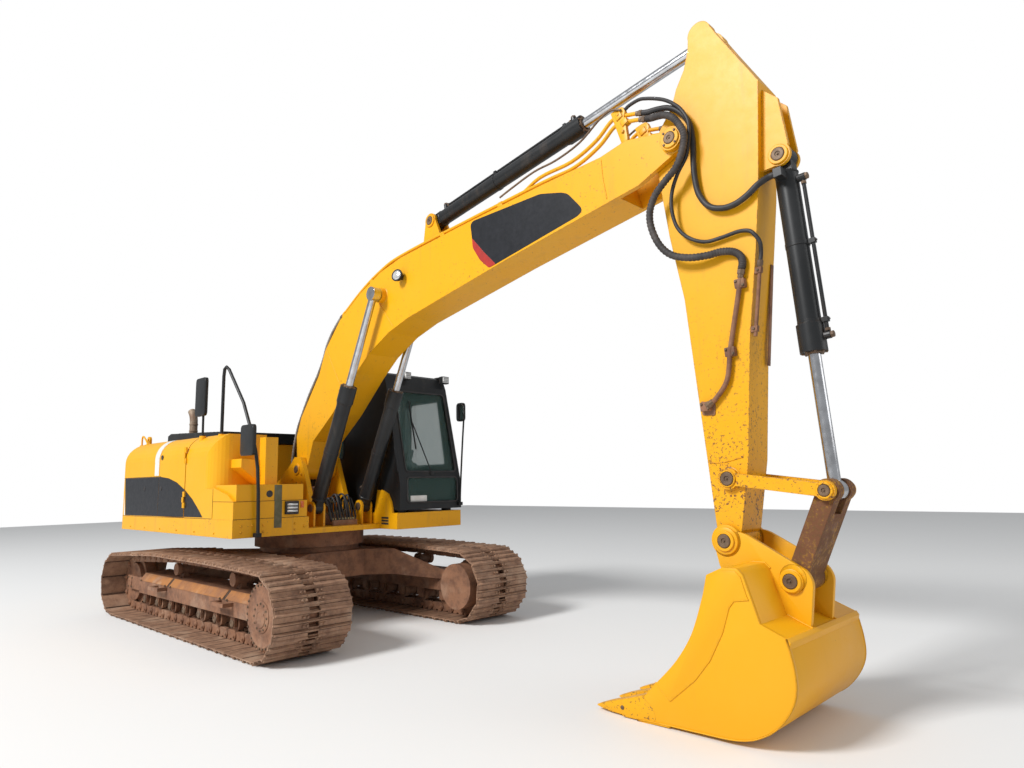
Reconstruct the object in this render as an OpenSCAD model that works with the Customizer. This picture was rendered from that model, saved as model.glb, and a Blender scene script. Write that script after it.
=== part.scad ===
/* [Undercarriage] */
// Distance between the centre lines of the two tracks
gauge = 2380; // [2300:10:2500]
// Distance from sprocket centre to idler centre
track_cc = 3840; // [3700:10:3950]
// How far the track centre lies behind the swing axis
track_shift = 150; // [60:10:180]
// Width of a track shoe
shoe_w = 790; // [600:10:900]
// Number of shoes in one track
shoe_n = 51; // [49:1:53]
// Pitch radius of the sprocket
sprocket_r = 318; // [300:2:330]
// Pitch radius of the idler
idler_r = 296; // [280:2:310]
// Height of a grouser lug above its shoe
lug_h = 26; // [15:1:30]
// Thickness of a shoe plate
shoe_t = 12; // [8:1:16]
// Height of the link rail on each side of the pin line
link_h = 48; // [40:1:55]
// Number of bottom rollers on each side
roller_n = 8; // [6:1:9]
// Tread radius of a bottom roller
roller_r = 75; // [65:1:80]
// Radius of the swing bearing
bearing_r = 640; // [560:10:700]
// Radius of the round guard over each travel motor
motor_r = 250; // [220:5:280]

/* [Upper structure] */
// Height of the underside of the upper structure
deck_z = 1045; // [1020:5:1100]
// Height of the lower rail that runs round the deck
rail_h = 186; // [150:2:220]
// Half width of the upper structure
body_half = 1388; // [1300:4:1450]
// Tail radius of the counterweight
tail_r = 2750; // [2600:10:2850]
// Height of the top of the hood and counterweight
hood_z = 2160; // [2050:10:2250]
// Place of the seam between counterweight and side doors
seam_x = -1150; // [-1300:10:-1000]
// Thickness of a body panel or door
panel_t = 40; // [25:1:60]

/* [Cab] */
// Place of the cab front at its foot
cab_front = 1225; // [1180:5:1260]
// Length of the cab
cab_len = 1790; // [1700:10:1850]
// Sideways place of the inner side of the cab
cab_in = 438; // [430:2:470]
// Height of the top of the cab
cab_z = 2935; // [2850:5:3000]
// How far the top of the windshield leans back
cab_lean = 350; // [250:10:420]
// Thickness of the cab walls
cab_t = 50; // [40:1:60]

/* [Boom] */
// Place of the boom foot pin
foot_x = 120; // [60:5:200]
// Height of the boom foot pin
foot_z = 1760; // [1700:5:1820]
// Length of the boom from pin to pin
boom_len = 5746; // [5600:2:5800]
// Angle of the line through the boom pins
boom_a = 23.6; // [20:0.1:28]
// Width of the boom box
boom_w = 400; // [380:2:420]

/* [Stick] */
// Length of the stick from boom pin to bucket pin
stick_len = 2920; // [2850:2:2960]
// Angle of the stick below the horizon
stick_a = -85.5; // [-90:0.1:-80]
// Width of the stick box
stick_w = 290; // [270:2:300]

/* [Bucket] */
// Angle of the line from the stick pin to the link pin
bucket_a = -28; // [-32:0.5:-24]
// Distance between the two bucket pins
bucket_pin_d = 483; // [460:1:500]
// Width of the bucket
bucket_w = 1140; // [1000:10:1250]
// Thickness of the bucket shell
shell_t = 22; // [16:1:30]
// Number of bucket teeth
tooth_n = 5; // [4:1:6]
// Length of the idler link
idler_link_l = 635; // [620:1:650]
// Length of the power link
power_link_l = 605; // [590:1:620]

/* [Cylinders] */
// Outer radius of a boom cylinder barrel
boom_cyl_r = 80; // [70:1:85]
// Radius of a boom cylinder rod
boom_rod_r = 42; // [35:1:45]
// Sideways place of the boom cylinders
boom_cyl_y = 318; // [312:1:326]
// Outer radius of the stick cylinder barrel
stick_cyl_r = 76; // [68:1:82]
// Radius of the stick cylinder rod
stick_rod_r = 45; // [38:1:48]
// Outer radius of the bucket cylinder barrel
bucket_cyl_r = 75; // [65:1:80]
// Radius of the bucket cylinder rod
bucket_rod_r = 40; // [34:1:43]
// Gap between a rod and the gland it runs through
rod_gap = 1; // [0.5:0.1:2]

/* [Fits] */
// Sideways gap between pieces that swing past each other
side_gap = 8; // [5:0.5:10]
// Radial gap between a pin and its bore
pin_gap = 1; // [0.4:0.1:1.5]
// Radius of the main pins
pin_r = 45; // [35:1:48]

/* [Hidden] */

yellow = "#F2B01E";
rust = "#8A5A3C";
black = "#1D1D1F";
steel = "#B8BCC0";

// Undercarriage levels
pin_line = lug_h + shoe_t + link_h + 4;
sprocket_x = track_cc / 2 - track_shift;
idler_x = -track_cc / 2 - track_shift;
sprocket_z = pin_line + sprocket_r;
idler_z = pin_line + idler_r;
carrier_x = 760;
carrier_r = 70;
carry_line = sprocket_z + sprocket_r + 24;
bearing_z = 905;

// The pitch line of the chain, as points round the loop
function arc_pts(x, z, r, a0, a1, n) =
    [for (i = [0:n]) let (a = a0 + (a1 - a0) * i / n) [x + r * cos(a), z + r * sin(a)]];
chain_path = concat(
    arc_pts(sprocket_x, sprocket_z, sprocket_r, -90, 84, 20),
    [[carrier_x, carry_line], [-carrier_x, carry_line]],
    arc_pts(idler_x, idler_z, idler_r, 86, 270, 20),
    [[sprocket_x, pin_line]]);
function seg_len(p, i) = norm(p[i + 1] - p[i]);
function cum_len(p, i = 0, s = 0) =
    i >= len(p) - 1 ? [s] : concat([s], cum_len(p, i + 1, s + seg_len(p, i)));
chain_s = cum_len(chain_path);
chain_len = chain_s[len(chain_s) - 1];
chain_x = [for (i = [0:len(chain_path) - 1]) [chain_s[i], chain_path[i][0]]];
chain_z = [for (i = [0:len(chain_path) - 1]) [chain_s[i], chain_path[i][1]]];
function chain_at(k) = let (s = chain_len * (k % shoe_n) / shoe_n) [lookup(s, chain_x), lookup(s, chain_z)];
function shoe_pt(k, u, v) = let (a = chain_at(k), b = chain_at(k + 1), t = (b - a) / norm(b - a))
    a + t * u * norm(b - a) + [t[1], -t[0]] * v;
shoe_v = link_h + 4 + shoe_t;
lug_profile = [[0.03, shoe_v], [0.06, shoe_v + lug_h], [0.12, shoe_v], [0.42, shoe_v],
    [0.48, shoe_v + lug_h - 6], [0.54, shoe_v], [0.86, shoe_v], [0.92, shoe_v + lug_h], [0.97, shoe_v]];
shoe_loop = [for (k = [0:shoe_n - 1]) for (q = lug_profile) shoe_pt(k, q[0], q[1])];
rail_u = 0.13;
function link_loop(v) = [for (k = [0:shoe_n - 1]) for (u = [rail_u, 1 - rail_u]) shoe_pt(k, u, v)];
half_pitch = chain_len / shoe_n / 2;

// Turns a point of an arm, given along and across its pin line, into a place in X and Z
function from_arm(o, a, p) = o + [p[0] * cos(a) - p[1] * sin(a), p[0] * sin(a) + p[1] * cos(a)];
function dir_a(p, q) = atan2(q[1] - p[1], q[0] - p[0]);
// The third corner of a triangle on p and q with sides a from p and b from q, to its left
function corner(p, q, a, b) = let (d = norm(q - p), x = (a * a - b * b + d * d) / (2 * d), y = sqrt(a * a - x * x))
    from_arm(p, dir_a(p, q), [x, y]);

boom_foot = [foot_x, foot_z];
boom_tip = from_arm(boom_foot, boom_a, [boom_len, 0]);
boom_eye = from_arm(boom_foot, boom_a, [2225, 1030]);
stick_cyl_base = from_arm(boom_foot, boom_a, [3120, 1400]);
boom_cyl_base = [665, 1310];
stick_end = from_arm(boom_tip, stick_a, [stick_len, 0]);
stick_eye = from_arm(boom_tip, stick_a, [-761, 283]);
bucket_cyl_base = from_arm(boom_tip, stick_a, [383, 698]);
idler_pin = from_arm(boom_tip, stick_a, [stick_len - 405, 68]);
bucket_link_pin = from_arm(stick_end, bucket_a, [bucket_pin_d, 0]);
link_joint = corner(idler_pin, bucket_link_pin, idler_link_l, power_link_l);

// Extrudes an outline in X and Z to a width w about the plane y
module ext_y(w, y = 0)
    translate([0, y + w / 2, 0]) rotate([90, 0, 0]) linear_extrude(w) children();
// The same on both sides of the middle
module both(y) {
    translate([0, y, 0]) children();
    translate([0, -y, 0]) children();
}
module bar_y(r, w, p, y = 0)
    translate([p[0], y + w / 2, p[1]]) rotate([90, 0, 0]) cylinder(r = r, h = w, $fn = 48);
// Puts an arm's own outline, along and across its pin line, in place
module on_arm(o, a)
    translate([o[0], 0, o[1]]) rotate([0, -a, 0]) children();
module disc2(r, p) translate(p) circle(r = r, $fn = 48);
module block(x0, x1, y0, y1, z0, z1)
    translate([min(x0, x1), min(y0, y1), min(z0, z1)]) cube([abs(x1 - x0), abs(y1 - y0), abs(z1 - z0)]);

// Undercarriage
link_y = 85;
link_w = 40;
module track_chain() {
    ext_y(shoe_w) difference() {
        polygon(shoe_loop);
        polygon(link_loop(shoe_v - shoe_t));
    }
    both(link_y) ext_y(link_w) difference() {
        polygon(link_loop(shoe_v - shoe_t));
        polygon(link_loop(-link_h));
    }
}
module track_right() color(rust) translate([0, -gauge / 2, 0]) track_chain();
module track_left() color(rust) translate([0, gauge / 2, 0]) track_chain();

fork_y = link_y + link_w / 2 + 32;
fork_t = 36;
wheel_w = 2 * (link_y - link_w / 2) - 10;
drive_y = 150;
module sprocket_side() {
    difference() {
        bar_y(sprocket_r + 20, wheel_w - 14, [sprocket_x, sprocket_z]);
        for (i = [0:20])
            let (a = (i + 0.5) * 360 / 21)
                bar_y(24, wheel_w, [sprocket_x + (sprocket_r + 14) * cos(a), sprocket_z + (sprocket_r + 14) * sin(a)]);
    }
    bar_y(motor_r - 12, 2 * drive_y + 30, [sprocket_x, sprocket_z], 15);
    bar_y(150, 60, [sprocket_x, sprocket_z], drive_y + 50);
}
module sprockets() color(rust) {
    translate([0, gauge / 2, 0]) sprocket_side();
    translate([0, -gauge / 2, 0]) mirror([0, 1, 0]) sprocket_side();
}
tread_idler = sqrt(idler_r * idler_r - half_pitch * half_pitch) - link_h - 2;
module idler_side() {
    bar_y(tread_idler, 2 * link_y + link_w, [idler_x, idler_z]);
    bar_y(idler_r - 10, wheel_w - 10, [idler_x, idler_z]);
    bar_y(70, 2 * (fork_y - fork_t / 2), [idler_x, idler_z]);
}
module idlers() color(rust) both(gauge / 2) idler_side();

frame_low = 296;
roller_z = pin_line + link_h + roller_r;
roller_x0 = idler_x + 520;
roller_x1 = sprocket_x - 520;
module bottom_roller(x) {
    both(link_y) bar_y(roller_r, link_w + 8, [x, roller_z]);
    bar_y(roller_r - 20, 2 * link_y, [x, roller_z]);
    bar_y(34, 2 * (link_y + 68), [x, roller_z]);
    both(link_y + 50) block(x - 45, x + 45, -14, 14, roller_z - 30, frame_low);
}

pad_z = 552;
carrier_z = carry_line - link_h - carrier_r - 3;
module carrier_roller(x) {
    both(link_y) bar_y(carrier_r, link_w + 6, [x, carrier_z]);
    bar_y(carrier_r - 15, 2 * link_y, [x, carrier_z]);
    block(x - 40, x + 40, -30, 30, pad_z, carrier_z);
}
module rollers() color(rust) both(gauge / 2) {
    for (i = [0:roller_n - 1]) bottom_roller(roller_x0 + (roller_x1 - roller_x0) * i / (roller_n - 1));
    for (s = [-1, 1]) carrier_roller(s * (carrier_x - 30));
}

// Track frame: two side frames, an X-shaped middle and the seat of the swing bearing
side_x0 = idler_x + 420;
side_x1 = sprocket_x - sprocket_r - 36;
module side_frame() {
    // box with a top that slopes down to the outside
    translate([side_x0, 0, 0]) rotate([90, 0, 90]) linear_extrude(side_x1 - side_x0)
        polygon([[-165, frame_low], [190, frame_low], [190, 440], [120, 525], [-165, 545]]);
    for (s = [-1, 1])
        block(s * (carrier_x - 30) - 45, s * (carrier_x - 30) + 45, -40, 40, 500, pad_z);
    // fork that carries the idler
    both(fork_y)
        block(idler_x - 90, side_x0 + 20, -fork_t / 2, fork_t / 2, idler_z - 80, idler_z + 80);
    // end bracket that carries the final drive
    ext_y(40, -drive_y - 20.3) union() {
        translate([side_x1 - 20, frame_low]) square([sprocket_x - side_x1, 240]);
        disc2(motor_r + 20, [sprocket_x, sprocket_z]);
    }
    // travel motor guard
    bar_y(motor_r, 200, [sprocket_x, sprocket_z], -drive_y - 140);
}
frame_in = gauge / 2 - 160;
module x_plan() {
    square([1240, 1500], center = true);
    for (s = [-1, 1])
        for (t = [-1, 1])
            polygon([[s * 120, t * 400], [s * 560, t * 300], [s * 1330 - 60, t * frame_in], [s * 760 - 60, t * frame_in]]);
}
module x_section() polygon([[-frame_in, 430], [-620, 500], [620, 500], [frame_in, 430], [frame_in, 545], [620, 800],
    [-620, 800], [-frame_in, 545]]);
bearing_gap = 0.4;
module track_frame() color(rust) {
    translate([0, gauge / 2, 0]) side_frame();
    translate([0, -gauge / 2, 0]) mirror([0, 1, 0]) side_frame();
    intersection() {
        translate([0, 0, 300]) linear_extrude(600) x_plan();
        translate([-2000, 0, 0]) rotate([90, 0, 90]) linear_extrude(4000) x_section();
    }
    translate([0, 0, 780]) cylinder(r = bearing_r - 60, h = bearing_z - 780, $fn = 96);
    translate([0, 0, bearing_z - 40]) cylinder(r = bearing_r, h = deck_z - bearing_gap - bearing_z + 40, $fn = 96);
    // steps on the outer side of each track frame
    for (s = [-1, 1]) for (x = [-1050, 650]) difference() {
        block(x, x + 300, s * (gauge / 2 + 180), s * (gauge / 2 + 300), 395, 433);
        block(x + 38, x + 262, s * (gauge / 2 + 192), s * (gauge / 2 + 262), 390, 450);
    }
}

// Hinges: a knuckle with its leaf on the door, and two with the pin on the fixed side
knuckle_r = 10;
knuckle_l = 60;
knuckle_off = 12;
leaf_l = 35;
hinge_pin_r = 5;
hinge_gap = 0.3;
module leaf(d, z0, z1, lift = 0) {
    block(0, d * leaf_l, knuckle_off - 8 + lift / 3, knuckle_off + 4, z0, z1);
    block(d * 16, d * leaf_l, lift, knuckle_off + 4, z0, z1);
}
module moving_half(d, lift = 0) difference() {
    union() {
        leaf(d, 0, knuckle_l, lift);
        translate([0, knuckle_off, 0]) cylinder(r = knuckle_r, h = knuckle_l, $fn = 24);
    }
    translate([0, knuckle_off, -1]) cylinder(r = hinge_pin_r + hinge_gap, h = knuckle_l + 2, $fn = 24);
}
module fixed_half(d) {
    for (z = [-knuckle_l - 2, knuckle_l + 2]) {
        leaf(d, z, z + knuckle_l);
        translate([0, knuckle_off, z]) cylinder(r = knuckle_r, h = knuckle_l, $fn = 24);
    }
    translate([0, knuckle_off, -knuckle_l]) cylinder(r = hinge_pin_r, h = 3 * knuckle_l, $fn = 24);
}
module on_side(s, x, z) translate([x, s * body_half, z]) mirror([0, s < 0 ? 1 : 0, 0]) children();
module on_top(x, y) translate([x, y, hood_z]) rotate([90, 0, 0]) children();
right_hinge_x = -365;
left_hinge_x = -715;
hood_hinge_x = -2430;
hood_hinge_y = 300;
door_hinge_z = [1400, 1900];

// Upper structure
deck_top = deck_z + rail_h;
bracket_t = 60;
lip_h = 60;
ear_back = 500;
ear_gap = 5;
cyl_eye_w = 90;
tool_x = 880;
well_right = -533;
well_left = cab_in - 30;
cab_y0 = cab_in;
cab_w = body_half - cab_in;
tail_round = 260;
bay_half = body_half - 240;
tail_profile = concat([[-body_half, deck_z - 10], [body_half, deck_z - 10]],
    arc_pts(body_half - tail_round, hood_z - tail_round, tail_round, 0, 90, 8),
    arc_pts(-body_half + tail_round, hood_z - tail_round, tail_round, 90, 180, 8));
module main_frame() color(yellow) {
    // deck with its rail, lower between the boom cylinders
    translate([0, 0, deck_z]) linear_extrude(rail_h) {
        translate([-1900, -body_half]) square([1900 + ear_back, 2 * body_half]);
        translate([0, -body_half]) square([tool_x, body_half + well_right]);
        translate([0, well_left]) square([cab_front - 11, body_half - well_left]);
    }
    // fin beside the cab foot
    ext_y(26, well_left + 13) polygon([[760, deck_top - 10], [820, 1498], [900, 1500], [1021, 1453], [1085, 1360],
        [1121, deck_top - 10]]);
    block(0, tool_x, well_right - 1, well_left + 1, deck_z, deck_z + lip_h);
    // boom bracket: two plates that hold the boom foot
    for (s = [-1, 1]) ext_y(bracket_t, s * (boom_w / 2 + side_gap + bracket_t / 2)) difference() {
        polygon([[-650, deck_top - 20], [-500, 1500], [foot_x - 160, foot_z + 60], [foot_x - 60, foot_z + 150],
            [foot_x + 90, foot_z + 140], [foot_x + 150, foot_z], [480, deck_top + 60], [490, deck_top - 20]]);
        disc2(pin_r, boom_foot);
    }
    // ears for the boom cylinders
    for (s = [-1, 1]) for (t = [-1, 1])
        ext_y(24, s * boom_cyl_y + t * (cyl_eye_w / 2 + ear_gap + 12)) difference() {
            union() {
                polygon([boom_cyl_base + [-230, deck_z - boom_cyl_base[1]], boom_cyl_base + [-75, 0],
                    boom_cyl_base + [70, 0], boom_cyl_base + [70, deck_z - boom_cyl_base[1]]]);
                disc2(75, boom_cyl_base);
            }
            disc2(pin_r, boom_cyl_base);
        }
}
lug_eye = [-2350, hood_z + 55];
lug_hole_r = 22;
lug_t = 30;
lug_y = 1110;
module tail_body() intersection() {
    rotate_extrude($fn = 180) polygon(concat([[0, deck_z], [tail_r, deck_z]],
        arc_pts(tail_r - tail_round, hood_z - tail_round, tail_round, 0, 90, 8), [[0, hood_z]]));
    translate([-3000, 0, 0]) rotate([90, 0, 90]) linear_extrude(3000) side_profile();
}
module side_profile() polygon(tail_profile);
module lift_lug() ext_y(lug_t) difference() {
    union() {
        disc2(50, lug_eye);
        translate([lug_eye[0] - 50, hood_z - 20]) square([100, 75]);
    }
    disc2(lug_hole_r, lug_eye);
}
module counterweight() color(yellow) {
    for (s = [-1, 1]) on_top(hood_hinge_x, s * hood_hinge_y) fixed_half(-1);
    both(lug_y) lift_lug();
    difference() {
        tail_body();
        block(seam_x, 3000, -2000, 2000, 0, 3000);
        // room for the deck and for the engine bay between the side arms
        block(-1903, 3000, -2000, 2000, 0, deck_top);
        block(-2150, 100, -bay_half, bay_half, deck_top - 10, hood_z + 100);
    }
}
module engine_block() color("#4A4A4A") block(-2050, -1150, -560, 420, deck_top, 1950);
wall_top = hood_z - 60;
module engine_housing() color(yellow) {
    for (z = door_hinge_z) on_side(1, left_hinge_x, z) fixed_half(1);
    // walls of the engine bay
    block(seam_x, -360, -bay_half, -bay_half + panel_t, deck_top, wall_top);
    block(seam_x, -700, bay_half - panel_t, bay_half, deck_top, wall_top);
    intersection() {
        block(-700, -640, -420, body_half, deck_top, wall_top);
        translate([-710, 0, 0]) rotate([90, 0, 90]) linear_extrude(80) side_profile();
    }
}
hood_gap = 6;
hood_top = hood_z + 150;
hood_side = [[-2405, hood_z + hood_gap], [-2140, hood_z + hood_gap], [-2140, hood_z - 10], [-620, hood_z - 10],
    [-620, hood_top - 70], [-2300, hood_top], [-2405, hood_top - 30]];
module hood() color(black) {
    block(-2140, -620, -bay_half + 10, bay_half - 10, wall_top + 10, hood_z);
    ext_y(1700) polygon(hood_side);
    for (s = [-1, 1]) on_top(hood_hinge_x, s * hood_hinge_y) moving_half(1, hood_gap);
}
// Curved skin of the right side between two places, as thick as a door
module skin(x0, x1, z0, z1) intersection() {
    block(x0, x1, -body_half, -bay_half - 20, z0, z1);
    translate([x0, 0, 0]) rotate([90, 0, 90]) linear_extrude(x1 - x0) difference() {
        side_profile();
        side_inner();
    }
}
module side_inner() polygon(concat([[-body_half + panel_t, deck_z - 20], [body_half - panel_t, deck_z - 20]],
    arc_pts(body_half - tail_round, hood_z - tail_round, tail_round - panel_t, 0, 90, 8),
    arc_pts(-body_half + tail_round, hood_z - tail_round, tail_round - panel_t, 90, 180, 8)));
module right_door() color(yellow) {
    skin(seam_x + 5, right_hinge_x - 5, deck_top + 6, hood_z - 12);
    for (z = door_hinge_z) on_side(-1, right_hinge_x, z) moving_half(-1);
}
module left_door() color(yellow) {
    mirror([0, 1, 0]) skin(seam_x + 5, left_hinge_x - 5, deck_top + 6, hood_z - 12);
    for (z = door_hinge_z) on_side(1, left_hinge_x, z) moving_half(-1);
}
tank_front = 390;
tank_in = -800;
tank_r = 200;
module tank_body() intersection() {
    union() {
        translate([0, 0, deck_top]) linear_extrude(hood_z - 20 - deck_top) polygon(concat(
            arc_pts(tank_front - tank_r, -body_half + tank_r, tank_r, -90, 0, 8),
            [[tank_front, tank_in], [-350, tank_in], [-350, -body_half]]));
        block(-350, tank_front, -body_half, tank_in, deck_top, 1548);
    }
    translate([-400, 0, 0]) rotate([90, 0, 90]) linear_extrude(1000) side_profile();
}
module fuel_tank() color(yellow) {
    tank_body();
    // feet of the handrail and of the rear mirror
    for (p = [[210, -1240], [-190, -1282]])
        translate([p[0], p[1], hood_z - 100]) cylinder(r = 34, h = 85, $fn = 32);
    for (z = door_hinge_z) on_side(-1, right_hinge_x, z) fixed_half(1);
}
box_top = 1585;
box_in = -605;
box_seam = 1412;
module tool_box() color(yellow) {
    block(tank_front, tool_x - 8, -body_half + 33, box_in, deck_top, box_top);
    block(tank_front, tool_x, -body_half + 2, box_in + 45, deck_top, box_seam);
    ext_y(33, -body_half + 18) polygon([[tank_front, deck_top], [tool_x - 8, deck_top], [tool_x - 8, box_seam],
        [741, 1480], [tank_front, 1560]]);
    // step shelf on the front of the tank, and the column beside it
    translate([tank_front, 0, 0]) rotate([90, 0, 90]) linear_extrude(240)
        polygon([[-1200, 1861], [-850, 1840], [-850, box_top - 5], [-960, box_top - 5], [-1200, 1768]]);
    block(620, 760, -995, -855, box_top - 5, 2090);
}
module exhaust_pipe() color("#8C7A66") difference() {
    translate([-1690, -790, hood_z]) {
        cylinder(r = 55, h = 330, $fn = 32);
        translate([0, 0, 300]) rotate([0, -35, 0]) cylinder(r = 55, h = 130, $fn = 32);
    }
    ext_y(1700) polygon(hood_side);
}
// A tube of radius r swept through points
function unit(v) = v / norm(v);
module tube(p, r, n = 8) {
    q = len(p);
    ring = [for (i = [0:q - 1]) let (t = unit(p[min(i + 1, q - 1)] - p[max(i - 1, 0)]), u = unit(cross(t, [0, 1, 0.02])),
        v = cross(t, u)) for (k = [0:n - 1]) p[i] + r * (cos(360 * k / n) * u + sin(360 * k / n) * v)];
    polyhedron(ring, concat([[for (k = [0:n - 1]) k]], [[for (k = [n - 1:-1:0]) (q - 1) * n + k]],
        [for (i = [0:q - 2]) for (k = [0:n - 1]) [i * n + k, (i + 1) * n + k, (i + 1) * n + (k + 1) % n, i * n + (k + 1) % n]]));
}
rail_r = 18;
rail_pts = [[930, -1140, deck_z + 40], [930, -1150, 1500], [930, -1165, 1750], [910, -1185, 1940], [860, -1200, 2100],
    [665, -1215, 2455], [330, -1235, 2852], [270, -1240, 2890], [225, -1240, 2870], [210, -1240, 2790],
    [210, -1240, hood_z - 15]];
module rod_between(p, q, r) {
    d = q - p;
    l = norm(d);
    translate(p) rotate([0, acos(d[2] / l), atan2(d[1], d[0])]) cylinder(r = r, h = l, $fn = 16);
}
module handrail() color(black) {
    tube(rail_pts, rail_r, 10);
    block(tool_x, 950, -1170, -1110, deck_z + 5, deck_z + 45);
    // clamp of the front right mirror
    block(860, 900, -1250, -1190, 2025, 2055);
}
mirror_rear = [-190, -1282, hood_z - 15];
mirror_left = [cab_front + 25, 1352, 1310];
module mirrors() color(black) {
    // rear right mirror on its arm
    block(-330, -60, -1330, -1290, 2370, 2810);
    block(-210, -170, -1300, -1270, mirror_rear[2], 2600);
    // front right mirror, clamped to the rail
    block(770, 1060, -1290, -1250, 1880, 2200);
    // left mirror on its tube in front of the cab
    block(1080, 1230, 1440, 1475, 2350, 2590);
    block(cab_front, cab_front + 40, 1325, 1380, 1290, 1330);
    tube([mirror_left, mirror_left + [0, 12, 240], mirror_left + [0, 70, 1000], mirror_left + [-20, 95, 1120], [1180, 1457, 2470]], 11, 8);
}

// Cab
cab_rear = cab_front - cab_len;
module cab_side() polygon([[cab_rear, deck_top + 30], [cab_front, deck_top + 30], [cab_front, 1560],
    [cab_front - cab_lean + 60, cab_z - 160], [cab_front - cab_lean, cab_z - 30], [cab_front - cab_lean - 60, cab_z],
    [cab_rear + 60, cab_z], [cab_rear, cab_z - 60]]);
module cab_inside() polygon([[cab_rear + cab_t, deck_top + 30 + cab_t], [cab_front - cab_t, deck_top + 30 + cab_t],
    [cab_front - cab_t, 1560], [cab_front - cab_lean + 60 - cab_t, cab_z - 160 - cab_t],
    [cab_rear + cab_t, cab_z - cab_t - 20]]);
door_x0 = cab_rear + 700;
door_hinge_x = door_x0 - 8;
door_x1 = cab_front - 120;
door_top = cab_z - 220;
module door_outline(g) polygon([[door_x0 + g, deck_top + 90 + g], [door_x1 - g, deck_top + 90 + g], [door_x1 - g, 1560],
    [door_x1 - cab_lean + 140 - g, door_top - g], [door_x0 + g, door_top - g]]);
module side_window(y) ext_y(200, y) polygon([[cab_rear + 120, 1900], [cab_rear + 600, 1900], [cab_rear + 600, cab_z - 260],
    [cab_rear + 120, cab_z - 260]]);
shield_y0 = cab_in + 110;
shield_y1 = body_half - 62;
module front_cut(x0 = 0) {
    block(cab_front - 400 - x0, cab_front + 100, shield_y0, shield_y1, 1710, cab_z - 235);
    block(cab_front - 100, cab_front + 100, shield_y0, shield_y1, 1345, 1640);
}
cab_foot = 30;
module cab_feet() for (x = [cab_rear + 150, cab_front - 150]) for (y = [cab_y0 + 120, body_half - 120])
    translate([x, y, deck_top]) cylinder(r = 60, h = cab_foot + 1, $fn = 32);
module cab_shell() color(black) {
    for (z = door_hinge_z) on_side(1, door_hinge_x, z) fixed_half(-1);
    shell_body();
}
module shell_body() difference() {
    union() {
        ext_y(cab_w, cab_y0 + cab_w / 2) cab_side();
        cab_feet();
    }
    ext_y(cab_w - 2 * cab_t, cab_y0 + cab_w / 2) cab_inside();
    ext_y(3 * cab_t, body_half) door_outline(0);
    front_cut();
    side_window(body_half);
    side_window(cab_y0);
    block(cab_rear - 50, cab_rear + 100, cab_y0 + 120, body_half - 120, 1900, cab_z - 260);
}
module cab_door() color(black) {
    for (z = door_hinge_z) on_side(1, door_hinge_x, z) moving_half(1);
    door_panel();
}
module door_panel() difference() {
    ext_y(cab_t, body_half - cab_t / 2) door_outline(6);
    ext_y(3 * cab_t, body_half) polygon([[door_x0 + 70, 1800], [door_x1 - 140, 1800], [door_x1 - cab_lean + 60, door_top - 80],
        [door_x0 + 70, door_top - 80]]);
}
glass_t = 6;
shield_slope = (cab_lean - 60) / (cab_z - 160 - 1560);
shield_foot = [cab_front - 25 - shield_slope * 150, 1710];
shield_top = [cab_front - 25 - shield_slope * (cab_z - 235 - 1560), cab_z - 235];
module cab_glass() color("#5C7A72") {
    for (y = [cab_y0 + 20, body_half - 20]) ext_y(glass_t, y) polygon([[cab_rear + 120, 1900], [cab_rear + 600, 1900],
        [cab_rear + 600, cab_z - 260], [cab_rear + 120, cab_z - 260]]);
    block(cab_rear + 20, cab_rear + 26, cab_y0 + 120, body_half - 120, 1900, cab_z - 260);
    block(cab_front - 30, cab_front - 24, shield_y0, shield_y1, 1345, 1640);
    ext_y(shield_y1 - shield_y0, (shield_y0 + shield_y1) / 2)
        polygon([shield_foot, shield_top, shield_top - [glass_t, 0], shield_foot - [glass_t, 0]]);
}
module operator_seat() color("#303236") {
    yc = cab_y0 + cab_w / 2;
    block(0, 480, yc - 240, yc + 240, deck_top + 80, 1700);
    block(-120, 20, yc - 230, yc + 230, 1500, 2300);
    block(0, 500, yc - 380, yc - 270, deck_top + 80, 1850);
    block(0, 500, yc + 270, yc + 380, deck_top + 80, 1850);
}
module work_lamps() color(black) {
    for (y = [cab_in + 290, body_half - 40]) {
        block(cab_front - cab_lean - 90, cab_front - cab_lean + 105, y - 25, y + 25, cab_z, cab_z + 10);
        block(cab_front - cab_lean + 45, cab_front - cab_lean + 110, y - 55, y + 55, cab_z - 85, cab_z + 8);
    }
    block(tool_x, tool_x + 25, -823, -673, 1265, 1403);
}
valve_top = 1560;
module valve_block() color(rust) block(-420, 0, -190, 190, deck_top, valve_top);
module frame_pins() color(steel) {
    bar_y(pin_r, 2 * (boom_w / 2 + side_gap + bracket_t + 16), boom_foot);
    both(boom_cyl_y) bar_y(pin_r, cyl_eye_w + 2 * (ear_gap + 24 + 12), boom_cyl_base);
}

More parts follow.
